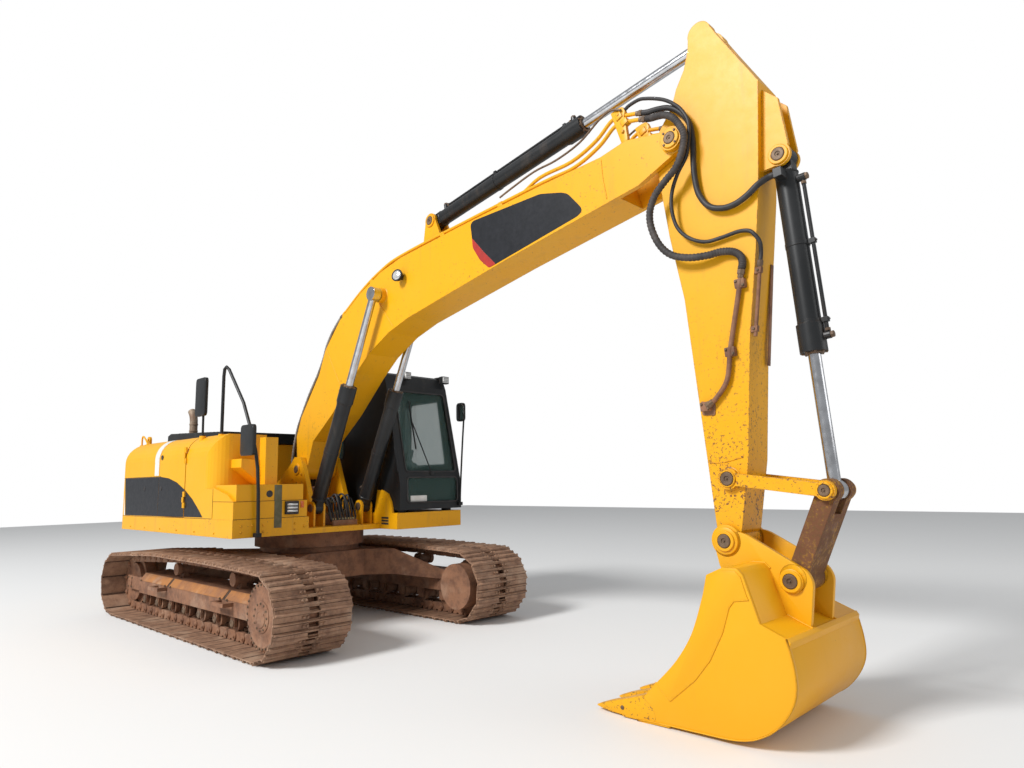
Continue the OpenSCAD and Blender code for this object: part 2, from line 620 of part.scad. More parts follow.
// Boom, in its own pin line: along and up from the foot pin
boom_top = [[1400, 1255], [1870, 1310], [2280, 1305], [2650, 1235], [3560, 935], [4560, 590], [boom_len - 576, 362]];
module boom_outline() {
    polygon(concat([[-95, 75], [30, 430], [215, 600], [760, 880], [1000, 1090]], boom_top, [[boom_len - 326, 310], [boom_len - 146, 190],
        [boom_len, 95], [boom_len, -95], [boom_len - 396, -100], [3950, 240], [2500, 560], [2150, 600], [1750, 578],
        [1430, 500], [850, 310], [350, 200], [100, -60]]));
    disc2(120, [0, 0]);
    disc2(95, [boom_len, 0]);
}
module boom() color(yellow) difference() {
    union() {
        on_arm(boom_foot, boom_a) {
            ext_y(boom_w) boom_outline();
            bar_y(80, 2 * (boom_cyl_y - cyl_eye_w / 2 - side_gap), [2225, 1030]);
            bar_y(90, 500, [boom_len, 0]);
            for (s = [-1, 1]) ext_y(30, s * (50 + side_gap + 15)) union() {
                polygon([[2860, 1130], [3050, 1430], [3190, 1400], [3190, 1040]]);
                disc2(80, [3120, 1400]);
            }
        }
    }
    on_arm(boom_foot, boom_a) {
        bar_y(pin_r + pin_gap, 1000, [0, 0]);
        // fork that takes the stick
        ext_y(stick_w + 2 * side_gap) polygon([[boom_len - 516, 600], [boom_len - 566, 100], [boom_len - 626, -300],
            [boom_len + 300, -300], [boom_len + 300, 600]]);
        bar_y(pin_r, 1000, [3120, 1400]);
        bar_y(pin_r, 1000, [boom_len, 0]);
    }
}
module boom_pins() color(steel) on_arm(boom_foot, boom_a) {
    bar_y(pin_r, 2 * (50 + side_gap + 30 + 12), [3120, 1400]);
    bar_y(pin_r, 520, [boom_len, 0]);
}
// Pipes on top of the boom. The outer two on each side go on to the fork and rise to the hose ends
pipe_r = 16;
pipe_lift = 38;
pipe_step = 40;
hose_step = 66;
pipe_out = 170;
fork_x = boom_len - 640;
pipe_rise = [[boom_len - 561, 476], [boom_len - 354, 513], [boom_len - 220, 436], [boom_len - 115, 354]];
function flat_run(y, x1, lift = pipe_lift) = [for (q = boom_top) if (q[0] < x1) [q[0], y, q[1] + lift]];
function risen(y, up) = [for (q = pipe_rise) [q[0], y, q[1] + up]];
function top_pt(x, y, lift) = [x, y, lookup(x, boom_top) + lift];
pipe_low = concat(flat_run(pipe_out, fork_x), [top_pt(fork_x - 200, pipe_out, pipe_lift)], risen(pipe_out, 0));
pipe_high = concat(flat_run(pipe_out - pipe_step, 4000), [top_pt(4200, pipe_out - pipe_step, pipe_lift),
    top_pt(4560, pipe_out - 8, pipe_lift + hose_step), top_pt(fork_x - 200, pipe_out, pipe_lift + hose_step)],
    risen(pipe_out, hose_step));
pipe_short = concat(flat_run(pipe_out - 2 * pipe_step, 2600), [top_pt(2700, pipe_out - 2 * pipe_step, pipe_lift)]);
clamp_x = [1480, 2100, 3300, 4080];
seat_gap = 0.3;
module pipe_clamp(x, d) polygon([[x - d, lookup(x - d, boom_top) + seat_gap], [x + d, lookup(x + d, boom_top) + seat_gap],
    [x + d, lookup(x + d, boom_top) + pipe_lift + 6], [x - d, lookup(x - d, boom_top) + pipe_lift + 6]]);
boom_nose = [[boom_len - 576, 362], [boom_len - 326, 310], [boom_len - 146, 190]];
function nose_pt(x) = [x, lookup(x, boom_nose) + seat_gap];
spare_gland = [boom_len - 226, 566];
module boom_pipes() color(yellow) on_arm(boom_foot, boom_a) for (s = [0, 1]) mirror([0, s, 0]) {
    for (route = [pipe_low, pipe_high, pipe_short]) tube(route, pipe_r);
    for (x = clamp_x) ext_y(3 * pipe_step, pipe_out - pipe_step + 2) pipe_clamp(x, 28);
    // bracket on the fork that holds the risen ends
    ext_y(36, pipe_out + 3) polygon([nose_pt(boom_len - 370), boom_nose[1] + [0, seat_gap], nose_pt(boom_len - 310),
        [boom_len - 266, 455], [boom_len - 256, 505], spare_gland - [0, 25], spare_gland + [0, 25],
        [boom_len - 262, 611], [boom_len - 340, 626]]);
}
module boom_lamp() color(steel) on_arm(boom_foot, boom_a) bar_y(70, 90, [2590, 1020], -boom_w / 2 - 45);

// One hydraulic cylinder lies along its own X from the base pin
module on_line(p, q) translate([p[0], 0, p[1]]) rotate([0, -dir_a(p, q), 0]) children();
barrel_start = 112;
gland_l = 85;
collar = 12;
port_x = 180;
port_h = 48;
piston_t = 50;
module barrel(r, rod_r, l, eye_r, eye_w) difference() {
    union() {
        bar_y(eye_r, eye_w, [0, 0]);
        block(0, barrel_start + 10, -eye_w / 2, eye_w / 2, -eye_r * 0.8, eye_r * 0.8);
        translate([barrel_start, 0, 0]) rotate([0, 90, 0]) cylinder(r = r, h = l - barrel_start, $fn = 64);
        translate([l - 190, 0, 0]) rotate([0, 90, 0]) cylinder(r = r + collar, h = 190, $fn = 64);
        // ports at both ends, joined by a pipe along the barrel
        for (x = [port_x, l - 95]) translate([x, 0, 0]) cylinder(r = 26, h = r + port_h, $fn = 12);
        translate([port_x, 0, r + port_h - 18]) rotate([0, 90, 0]) cylinder(r = 13, h = l - 95 - port_x, $fn = 12);
    }
    translate([barrel_start + 13, 0, 0]) rotate([0, 90, 0]) cylinder(r = r - 12, h = l - barrel_start - 13 - gland_l, $fn = 64);
    translate([barrel_start + 13, 0, 0]) rotate([0, 90, 0]) cylinder(r = rod_r + rod_gap, h = l, $fn = 64);
    bar_y(pin_r + pin_gap, 400, [0, 0]);
}
module rod(r, rod_r, l0, l1, eye_r, eye_w) {
    translate([l0, 0, 0]) rotate([0, 90, 0]) cylinder(r = rod_r, h = l1 - l0, $fn = 64);
    translate([l0, 0, 0]) rotate([0, 90, 0]) cylinder(r = r - 12 - rod_gap, h = piston_t, $fn = 64);
    bar_y(eye_r, eye_w, [l1, 0]);
}
// Place of each piston at rest, from its base pin
boom_piston = 903;
stick_piston = 1250;
bucket_piston = 742;
boom_cyl_l = norm(boom_eye - boom_cyl_base);
boom_barrel_l = 1470;
module boom_cylinder_barrels() color("#3A3E40") both(boom_cyl_y)
    on_line(boom_cyl_base, boom_eye) barrel(boom_cyl_r, boom_rod_r, boom_barrel_l, 70, cyl_eye_w);
module boom_cylinder_rods() color(steel) both(boom_cyl_y)
    on_line(boom_cyl_base, boom_eye) rod(boom_cyl_r, boom_rod_r, boom_piston, boom_cyl_l, 75, cyl_eye_w);
stick_cyl_l = norm(stick_eye - stick_cyl_base);
stick_barrel_l = 2020;
module stick_cylinder_barrel() color("#3A3E40")
    on_line(stick_cyl_base, stick_eye) barrel(stick_cyl_r, stick_rod_r, stick_barrel_l, 78, 100);
module stick_cylinder_rod() color(steel)
    on_line(stick_cyl_base, stick_eye) rod(stick_cyl_r, stick_rod_r, stick_piston, stick_cyl_l, 75, 100);
bucket_cyl_l = norm(link_joint - bucket_cyl_base);
bucket_barrel_l = 1375;
elbow_x = 152;
elbow_y = 132;
elbow_z = 28;
module bucket_cylinder_barrel() color("#3A3E40")
    on_line(bucket_cyl_base, link_joint) {
        barrel(bucket_cyl_r, bucket_rod_r, bucket_barrel_l, 75, 100);
        // elbow that takes the bucket hose
        block(elbow_x - 30, elbow_x + 30, -elbow_y - 30, -bucket_cyl_r + 9, -elbow_z, elbow_z);
    }
module bucket_cylinder_rod() color(steel)
    on_line(bucket_cyl_base, link_joint) rod(bucket_cyl_r, bucket_rod_r, bucket_piston, bucket_cyl_l, 65, 100);

// Stick
module stick_outline() {
    polygon([[-800, 360], [-633, 438], [-175, 661], [600, 550], [1011, 470], [1610, 341], [stick_len - 516, 214], [stick_len - 60, 100],
        [stick_len, 60], [stick_len, -60], [stick_len - 70, -75], [stick_len - 520, -82], [1200, -103], [700, -160], [200, -190],
        [0, -205], [-150, -140], [-307, -5], [-420, 45], [-540, 128], [-680, 180], [-800, 200]]);
    disc2(92, [-761, 283]);
    disc2(95, [stick_len, 0]);
}
module stick() color(yellow) on_arm(boom_tip, stick_a) difference() {
    union() {
        ext_y(stick_w) stick_outline();
        for (s = [-1, 1]) ext_y(30, s * (50 + side_gap + 15)) union() {
            polygon([[-185, 600], [-19, 752], [330, 772], [455, 698], [455, 500]]);
            disc2(80, [383, 698]);
        }
    }
    bar_y(pin_r + pin_gap, 1000, [0, 0]);
    bar_y(pin_r, 1000, [383, 698]);
    bar_y(pin_r + pin_gap, 1000, [stick_len - 405, 68]);
    bar_y(pin_r + pin_gap, 1000, [stick_len, 0]);
    // slot for the eye of the stick cylinder rod
    ext_y(100 + 2 * side_gap) polygon([[-1100, 700], [-1100, -100], [-450, -100], [-500, 480]]);
    ext_y(100 + 2 * side_gap) disc2(92, [383, 698]);
}
module stick_pins() color(steel) on_arm(boom_tip, stick_a)
    bar_y(pin_r, 2 * (50 + side_gap + 30 + 12), [383, 698]);
// Pipe on the right side of the stick, and one along its front edge
side_y = -stick_w / 2 - 30;
edge_y = -stick_w / 2 + 18;
side_pipe = [[1120, side_y, 366], [1300, side_y, 315], [1520, side_y, 247], [1665, side_y, 204], [1851, side_y, 155],
    [1960, side_y, 60], [2010, side_y, -20]];
function edge_v(x) = 470 - (x - 1011) * 129 / 599;
edge_pipe = [[1080, edge_y, edge_v(1080) + 30], [1300, edge_y, edge_v(1300) + 30], [1590, edge_y, edge_v(1590) + 30]];
module stick_pipes() color(rust) on_arm(boom_tip, stick_a) {
    tube(side_pipe, 18);
    for (q = [[1215, 340], [1665, 204], [2006, -30]])
        block(q[0] - 32, q[0] + 32, -stick_w / 2 - 42, -stick_w / 2 - seat_gap, q[1] - 36, q[1] + 36);
    tube(edge_pipe, 14);
    for (x = [1150, 1540]) ext_y(30, edge_y) polygon([[x - 20, edge_v(x - 20) + seat_gap], [x + 20, edge_v(x + 20) + seat_gap],
        [x + 20, edge_v(x + 20) + 34], [x - 20, edge_v(x - 20) + 34]]);
}

// Bucket linkage
link_in = stick_w / 2 + side_gap;
link_t = 32;
module idler_links() color(yellow) {
    for (s = [-1, 1]) ext_y(link_t, s * (link_in + link_t / 2)) link_plate(idler_pin, link_joint, 72, 62, 42);
    bar_y(pin_r, 2 * (link_in + link_t + 10), idler_pin);
}
module link_plate(p, q, r0, r1, h) {
    a = dir_a(p, q);
    n = [-sin(a), cos(a)];
    union() {
        disc2(r0, p);
        disc2(r1, q);
        polygon([p + n * h, q + n * h, q - n * h, p - n * h]);
    }
}
power_w = 2 * (link_in - side_gap);
module power_link() color(rust) difference() {
    union() {
        ext_y(power_w) link_plate(link_joint, bucket_link_pin, 72, 80, 60);
        bar_y(79, power_w, bucket_link_pin);
    }
    ext_y(100 + 2 * side_gap) disc2(150, link_joint);
    bar_y(pin_r + pin_gap, 500, bucket_link_pin);
}

// Bucket, in its own pin line: along and up from the stick pin
wrap_pts = [[129, -133], [202, -35], [283, 8], [330, -5], [540, -205], [705, -189], [795, -288], [867, -396],
    [892, -490], [884, -610], [845, -735], [733, -880], [470, -1026], [203, -1174], [95, -1248]];
function side_n(p, q) = let (d = (q - p) / norm(q - p)) [d[1], -d[0]];
function inset_pt(p, i, t) = let (n0 = i > 0 ? side_n(p[i - 1], p[i]) : side_n(p[i], p[i + 1]),
    n1 = i < len(p) - 1 ? side_n(p[i], p[i + 1]) : n0, m = (n0 + n1) / norm(n0 + n1)) p[i] + m * t / (m * n0);
wrap_in = [for (i = [len(wrap_pts) - 1:-1:0]) inset_pt(wrap_pts, i, shell_t)];
side_front = [[60, -1200], [70, -1080], [112, -938], [147, -830], [176, -720], [196, -560], [188, -430], [158, -250]];
ear_in = stick_w / 2 + side_gap;
ear_t = 36;
tooth_w = 110;
module bucket() color(yellow) on_arm(stick_end, bucket_a) {
    difference() {
        union() {
            ext_y(bucket_w) polygon(concat(wrap_pts, wrap_in));
            for (s = [-1, 1]) ext_y(shell_t + 4, s * (bucket_w - shell_t - 4) / 2) polygon(concat(wrap_pts, side_front));
        }
        tooth_set();
    }
    for (s = [-1, 1]) difference() {
        union() {
            ext_y(ear_t, s * (ear_in + ear_t / 2)) union() {
                polygon([[-60, -70], [45, -190], [250, -100], [330, -20], [535, -230], [700, -200], [600, 60], [540, 105],
                    [100, 108], [0, 80]]);
                disc2(105, [0, 0]);
                disc2(85, [bucket_pin_d, 20]);
            }
            bar_y(90, 30, [0, 0], s * (ear_in + ear_t + 14));
            bar_y(75, 30, [bucket_pin_d, 0], s * (ear_in + ear_t + 14));
        }
        bar_y(pin_r, 1000, [0, 0]);
        bar_y(pin_r, 1000, [bucket_pin_d, 0]);
    }
}
tooth_side = [[60, -1075], [170, -1100], [215, -1150], [195, -1190], [-18, -1312], [-228, -1394], [-65, -1202]];
module tooth_set() for (i = [0:tooth_n - 1])
    ext_y(tooth_w, (bucket_w - tooth_w) * (i / (tooth_n - 1) - 0.5)) polygon(tooth_side);
module bucket_teeth() color(yellow) on_arm(stick_end, bucket_a) tooth_set();
module bucket_pins() color(steel) {
    bar_y(pin_r, 2 * (ear_in + ear_t + 29), stick_end);
    bar_y(pin_r, 2 * (ear_in + ear_t + 29), bucket_link_pin);
}

// Hose loops from the ends of the boom pipes, round the boom tip, to the stick: radius, then points
hose_gap = 0.3;
// Places and directions of the pipe ends that the hoses meet
function world(o, a, p) = let (q = from_arm(o, a, [p[0], p[2]])) [q[0], p[1], q[1]];
function end_of(p, o, a) = world(o, a, p[len(p) - 1]);
function end_dir(p, o, a) = unit(end_of(p, o, a) - world(o, a, p[len(p) - 2]));
function flip(p) = [for (i = [len(p) - 1:-1:0]) p[i]];
function right(p) = [for (q = p) [q[0], -q[1], q[2]]];
function leave(p, o, a) = let (e = end_of(p, o, a), d = end_dir(p, o, a)) [e + hose_gap * d, e + 50 * d];
low_end = leave(right(pipe_low), boom_foot, boom_a);
high_end = leave(right(pipe_high), boom_foot, boom_a);
elbow_end = world(bucket_cyl_base, dir_a(bucket_cyl_base, link_joint), [elbow_x, -elbow_y, -elbow_z - hose_gap]);
elbow_from = world(bucket_cyl_base, dir_a(bucket_cyl_base, link_joint), [elbow_x, -elbow_y, -elbow_z - 40]);
loop_bucket = concat(high_end, [[5250, -174, 4372], [5345, -180, 4342], [5440, -186, 4270], [5515, -186, 4150],
    [5535, -186, 3990], [5530, -186, 3850], [5535, -186, 3720], [5560, -186, 3590], [5630, -186, 3480],
    [5730, -186, 3435], [5830, -186, 3437], [5920, -184, 3475], [5990, -172, 3530], elbow_from, elbow_end]);
loop_stick = concat(low_end, [[5262, -196, 4303], [5345, -240, 4262], [5425, -268, 4200], [5482, -276, 4120],
    [5515, -276, 4030], [5500, -276, 3930], [5440, -276, 3810], [5340, -276, 3730], [5250, -272, 3650],
    [5200, -272, 3540], [5200, -265, 3420], [5250, -250, 3280], [5340, -240, 3180], [5470, -225, 3130],
    [5600, -205, 3118], [5700, -188, 3125], [5785, -178, 3108], [5835, -175, 3068]], flip(leave(flip(side_pipe), boom_tip, stick_a)));
// The spare hose starts at a gland on the end bracket
loop_spare = concat(leave([for (x = [0, spare_gland[0]]) [x, -pipe_out - 3, spare_gland[1]]], boom_foot, boom_a),
    [[5085, -174, 4518], [5150, -176, 4500], [5235, -182, 4462], [5320, -194, 4412], [5400, -210, 4345], [5475, -226, 4260], [5528, -230, 4150], [5530, -230, 4040], [5500, -230, 3890],
    [5420, -225, 3780], [5360, -215, 3660], [5350, -215, 3530], [5380, -205, 3390], [5460, -195, 3290],
    [5580, -180, 3230], [5710, -175, 3230], [5830, -175, 3240], [5905, -172, 3228], [5945, -168, 3190],
    [5970, -152, 3135]], flip(leave(flip(edge_pipe), boom_tip, stick_a)));
module stick_hoses() color(black) {
    tube(loop_bucket, 22);
    tube(loop_stick, 27);
    tube(loop_spare, 14);
}
// Hoses from the valve block up the back of the boom
hose_r = 18;
boom_hose_foot = [[-200, valve_top], [-200, 1660], [-180, 1800], [-150, 1960], [-110, 2120], [-40, 2290], [60, 2450],
    [220, 2680], [390, 2880], [510, 3060], [590, 3220], [700, 3355]];
module boom_hoses() color(black) for (s = [-1, 1]) for (k = [0:2]) let (y = s * (pipe_out - k * pipe_step))
    tube(concat([for (p = boom_hose_foot) [p[0], y, p[1]]],
        flip(leave(flip(flat_run(y, 2000)), boom_foot, boom_a))), hose_r);

track_frame();
track_right();
track_left();
sprockets();
idlers();
rollers();
main_frame();
counterweight();
engine_block();
engine_housing();
hood();
right_door();
left_door();
fuel_tank();
tool_box();
exhaust_pipe();
handrail();
mirrors();
cab_shell();
cab_door();
cab_glass();
operator_seat();
work_lamps();
valve_block();
frame_pins();
boom();
boom_pipes();
boom_lamp();
boom_cylinder_barrels();
boom_cylinder_rods();
stick_cylinder_barrel();
stick_cylinder_rod();
stick();
stick_pipes();
bucket_cylinder_barrel();
bucket_cylinder_rod();
idler_links();
power_link();
bucket();
bucket_teeth();
bucket_pins();
boom_pins();
stick_pins();
boom_hoses();
stick_hoses();
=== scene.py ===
import math
import random

import bpy
from mathutils import Matrix, Vector


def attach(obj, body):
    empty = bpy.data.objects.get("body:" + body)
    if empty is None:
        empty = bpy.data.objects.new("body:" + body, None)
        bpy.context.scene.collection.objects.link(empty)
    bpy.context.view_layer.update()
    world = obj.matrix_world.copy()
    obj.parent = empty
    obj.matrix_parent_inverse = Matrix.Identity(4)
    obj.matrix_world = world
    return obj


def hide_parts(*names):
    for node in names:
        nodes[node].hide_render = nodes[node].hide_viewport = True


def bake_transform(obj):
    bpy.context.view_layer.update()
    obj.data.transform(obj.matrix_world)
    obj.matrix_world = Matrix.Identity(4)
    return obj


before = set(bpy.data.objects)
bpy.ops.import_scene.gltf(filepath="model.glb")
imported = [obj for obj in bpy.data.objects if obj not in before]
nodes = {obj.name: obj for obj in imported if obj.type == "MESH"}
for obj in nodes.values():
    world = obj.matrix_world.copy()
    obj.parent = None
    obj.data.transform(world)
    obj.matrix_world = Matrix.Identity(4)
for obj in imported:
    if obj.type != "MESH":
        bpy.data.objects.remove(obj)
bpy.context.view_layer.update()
random.seed(7)


def report(stage):
    print("stage:", stage, flush=True)


# Camera
camera = {
    "place": (7.927, -4.626, 1.560),
    "yaw": 133.857,
    "pitch": 7.940,
    "roll": -1.017,
    "focalPixels": 705.2,
    "photoWidth": 1024,
    "sensor": 36.0,
}


def makeCamera(c):
    yaw, pitch, roll = (math.radians(c[k]) for k in ("yaw", "pitch", "roll"))
    ahead = Vector((math.cos(yaw) * math.cos(pitch), math.sin(yaw) * math.cos(pitch), math.sin(pitch)))
    side = Vector((math.sin(yaw), -math.cos(yaw), 0))
    up = side.cross(ahead)
    right = side * math.cos(roll) + up * math.sin(roll)
    top = up * math.cos(roll) - side * math.sin(roll)
    data = bpy.data.cameras.new("camera")
    data.sensor_width = c["sensor"]
    data.lens = c["focalPixels"] / c["photoWidth"] * c["sensor"]
    data.clip_end = 200
    thing = bpy.data.objects.new("camera", data)
    bpy.context.scene.collection.objects.link(thing)
    turn = Matrix((right, top, -ahead)).transposed().to_4x4()
    thing.matrix_world = Matrix.Translation(c["place"]) @ turn
    bpy.context.scene.camera = thing


makeCamera(camera)
bpy.context.scene.view_settings.view_transform = "Standard"
report("camera")


# Materials
def setSockets(node, values):
    for key, value in values.items():
        node.inputs[key].default_value = value


def newMaterial(name, values):
    made = bpy.data.materials.new(name)
    made.use_nodes = True
    tree = made.node_tree
    shader = tree.nodes["Principled BSDF"]
    setSockets(shader, values)
    return made, tree, shader


def addNode(tree, kind, values):
    node = tree.nodes.new(kind)
    setSockets(node, values)
    return node


# A value into a socket: a number or a colour is set, anything else is another node's output
def feed(tree, socket, value):
    if isinstance(value, (int, float)):
        socket.default_value = value
    elif isinstance(value, tuple):
        socket.default_value = (*value, 1)
    else:
        tree.links.new(value, socket)


def objectPlace(tree):
    return tree.nodes.new("ShaderNodeTexCoord").outputs["Object"]


def noiseOf(tree, scale, detail=4.0, rough=0.55, stretch=None):
    place = objectPlace(tree)
    if stretch:
        mapping = addNode(tree, "ShaderNodeMapping", {"Scale": stretch})
        tree.links.new(place, mapping.inputs["Vector"])
        place = mapping.outputs["Vector"]
    noise = addNode(tree, "ShaderNodeTexNoise", {"Scale": scale, "Detail": detail, "Roughness": rough})
    tree.links.new(place, noise.inputs["Vector"])
    return noise.outputs["Fac"]


def rampOf(tree, source, low, high):
    ramp = addNode(tree, "ShaderNodeMapRange", {"From Min": low, "From Max": high})
    ramp.interpolation_type = "SMOOTHSTEP"
    tree.links.new(source, ramp.inputs["Value"])
    return ramp.outputs["Result"]


# Patches of noise: nothing below the first limit and everything above the second
def patches(tree, low, high, *noise):
    return rampOf(tree, noiseOf(tree, *noise), low, high)


def mathOf(tree, operation, first, second):
    node = tree.nodes.new("ShaderNodeMath")
    node.operation = operation
    feed(tree, node.inputs[0], first)
    feed(tree, node.inputs[1], second)
    return node.outputs[0]


def plus(tree, first, second):
    return mathOf(tree, "ADD", first, second)


def times(tree, first, second):
    return mathOf(tree, "MULTIPLY", first, second)


def mixColour(tree, factor, first, second):
    node = tree.nodes.new("ShaderNodeMix")
    node.data_type = "RGBA"
    for index, value in ((0, factor), (6, first), (7, second)):
        feed(tree, node.inputs[index], value)
    return node.outputs[2]


def heightOf(tree):
    split = tree.nodes.new("ShaderNodeSeparateXYZ")
    tree.links.new(objectPlace(tree), split.inputs[0])
    return split.outputs["Z"]


def roundedNormal(tree, radius):
    bevel = addNode(tree, "ShaderNodeBevel", {"Radius": radius})
    bevel.samples = 4
    return bevel.outputs["Normal"]


# Strong where a wide rounding would turn the surface, which is along the edges
def edgeWear(tree, radius=0.016):
    dot = tree.nodes.new("ShaderNodeVectorMath")
    dot.operation = "DOT_PRODUCT"
    tree.links.new(roundedNormal(tree, radius), dot.inputs[0])
    tree.links.new(tree.nodes.new("ShaderNodeNewGeometry").outputs["Normal"], dot.inputs[1])
    return rampOf(tree, mathOf(tree, "SUBTRACT", 1.0, dot.outputs["Value"]), 0.02, 0.14)


# The last steps of a material: its colour, its roughness and a bump over rounded edges
def finishMaterial(tree, shader, colour, rough, height, strength, distance):
    tree.links.new(colour, shader.inputs["Base Color"])
    tree.links.new(rough, shader.inputs["Roughness"])
    bump = addNode(tree, "ShaderNodeBump", {"Strength": strength, "Distance": distance})
    tree.links.new(height, bump.inputs["Height"])
    tree.links.new(roundedNormal(tree, 0.004), bump.inputs["Normal"])
    tree.links.new(bump.outputs["Normal"], shader.inputs["Normal"])


# Machine paint: a base colour with a faded tint, rust dots, worn edges, and dirt that gathers below a height
def paintMaterial(name, s):
    made, tree, shader = newMaterial(name, {
        "Base Color": (*s["colour"], 1), "Roughness": s["roughness"], "Coat Weight": 0.04, "Coat Roughness": 0.3,
        "Specular IOR Level": 0.3})
    colour = mixColour(tree, patches(tree, 0.38, 0.72, 1.1, 5), s["colour"], s["faded"])
    streak = patches(tree, 0.52, 0.75, 7, 6, 0.65, (1.0, 1.0, 0.10))
    colour = mixColour(tree, times(tree, streak, s["streaks"]), colour, s["dirtColour"])
    low = rampOf(tree, heightOf(tree), s["lowTo"], s["lowFrom"])
    reach = plus(tree, times(tree, low, s["lowDirt"]), s["dirt"])
    grime = noiseOf(tree, 9, 8, 0.7)
    dirt = rampOf(tree, plus(tree, grime, mathOf(tree, "SUBTRACT", reach, 0.5)), 0.42, 0.62)
    colour = mixColour(tree, times(tree, dirt, 0.85), colour, s["dirtColour"])
    spread = times(tree, patches(tree, 0.42, 0.6, 2.6, 3), 0.05)
    dots = rampOf(tree, plus(tree, noiseOf(tree, 42, 5, 0.7), spread), s["dotAt"], s["dotAt"] + 0.03)
    lowDots = s.get("lowDots", 0.0)
    dots = times(tree, dots, plus(tree, times(tree, low, lowDots), 1.0 - lowDots))
    worn = times(tree, edgeWear(tree), patches(tree, 0.46, 0.56, 26, 5, 0.7))
    bare = plus(tree, times(tree, dots, s["dots"]), times(tree, worn, s["edges"]))
    bare = mathOf(tree, "MINIMUM", bare, 1.0)
    colour = mixColour(tree, bare, colour, s["bareColour"])
    rough = plus(tree, times(tree, dirt, 0.25), s["roughness"] - 0.1)
    rough = plus(tree, times(tree, grime, 0.2), rough)
    relief = mathOf(tree, "SUBTRACT", times(tree, noiseOf(tree, 70, 3), 0.2), bare)
    finishMaterial(tree, shader, colour, rough, relief, 0.25, 0.002)
    return made


# Bare rusty steel: two rust tones, pale dried mud, polished or dark spots
def rustMaterial(name, s):
    made, tree, shader = newMaterial(name, {
        "Base Color": (*s["colour"], 1), "Roughness": s["roughness"], "Metallic": s.get("metal", 0.0)})
    colour = mixColour(tree, patches(tree, 0.38, 0.66, s.get("scale", 7), 9, 0.7), s["colour"], s["second"])
    mud = times(tree, patches(tree, 0.5, 0.68, 2.3, 6, 0.6), s["mud"])
    colour = mixColour(tree, mud, colour, s["mudColour"])
    spots = times(tree, patches(tree, 0.6, 0.68, 46, 4, 0.6), s["spots"])
    colour = mixColour(tree, spots, colour, s["spotColour"])
    rough = plus(tree, times(tree, noiseOf(tree, 30, 4), 0.3), s["roughness"] - 0.15)
    finishMaterial(tree, shader, colour, rough, noiseOf(tree, 60, 8, 0.75), 0.5, 0.003)
    return made


# Plain stuff: one colour that varies a little in tone and gloss
def plainMaterial(name, s):
    made, tree, shader = newMaterial(name, {
        "Base Color": (*s["colour"], 1), "Roughness": s["roughness"], "Metallic": s.get("metal", 0.0),
        "Specular IOR Level": s.get("gloss", 0.5)})
    colour = mixColour(tree, patches(tree, 0.35, 0.7, s.get("scale", 12), 6, 0.6), s["colour"], s["second"])
    rough = plus(tree, times(tree, noiseOf(tree, 25, 3), 0.24), s["roughness"] - 0.12)
    finishMaterial(tree, shader, colour, rough, noiseOf(tree, s.get("grain", 120), 4), s.get("bump", 0.12), 0.001)
    return made


def glassMaterial(name, s):
    made, tree, shader = newMaterial(name, {
        "Base Color": (*s["colour"], 1), "Roughness": s["roughness"], "Transmission Weight": s["clear"], "IOR": 1.1,
        "Alpha": s["alpha"]})
    dust = times(tree, patches(tree, 0.4, 0.75, 3, 6, 0.6), 0.35)
    tree.links.new(mixColour(tree, dust, s["colour"], s["dust"]), shader.inputs["Base Color"])
    return made


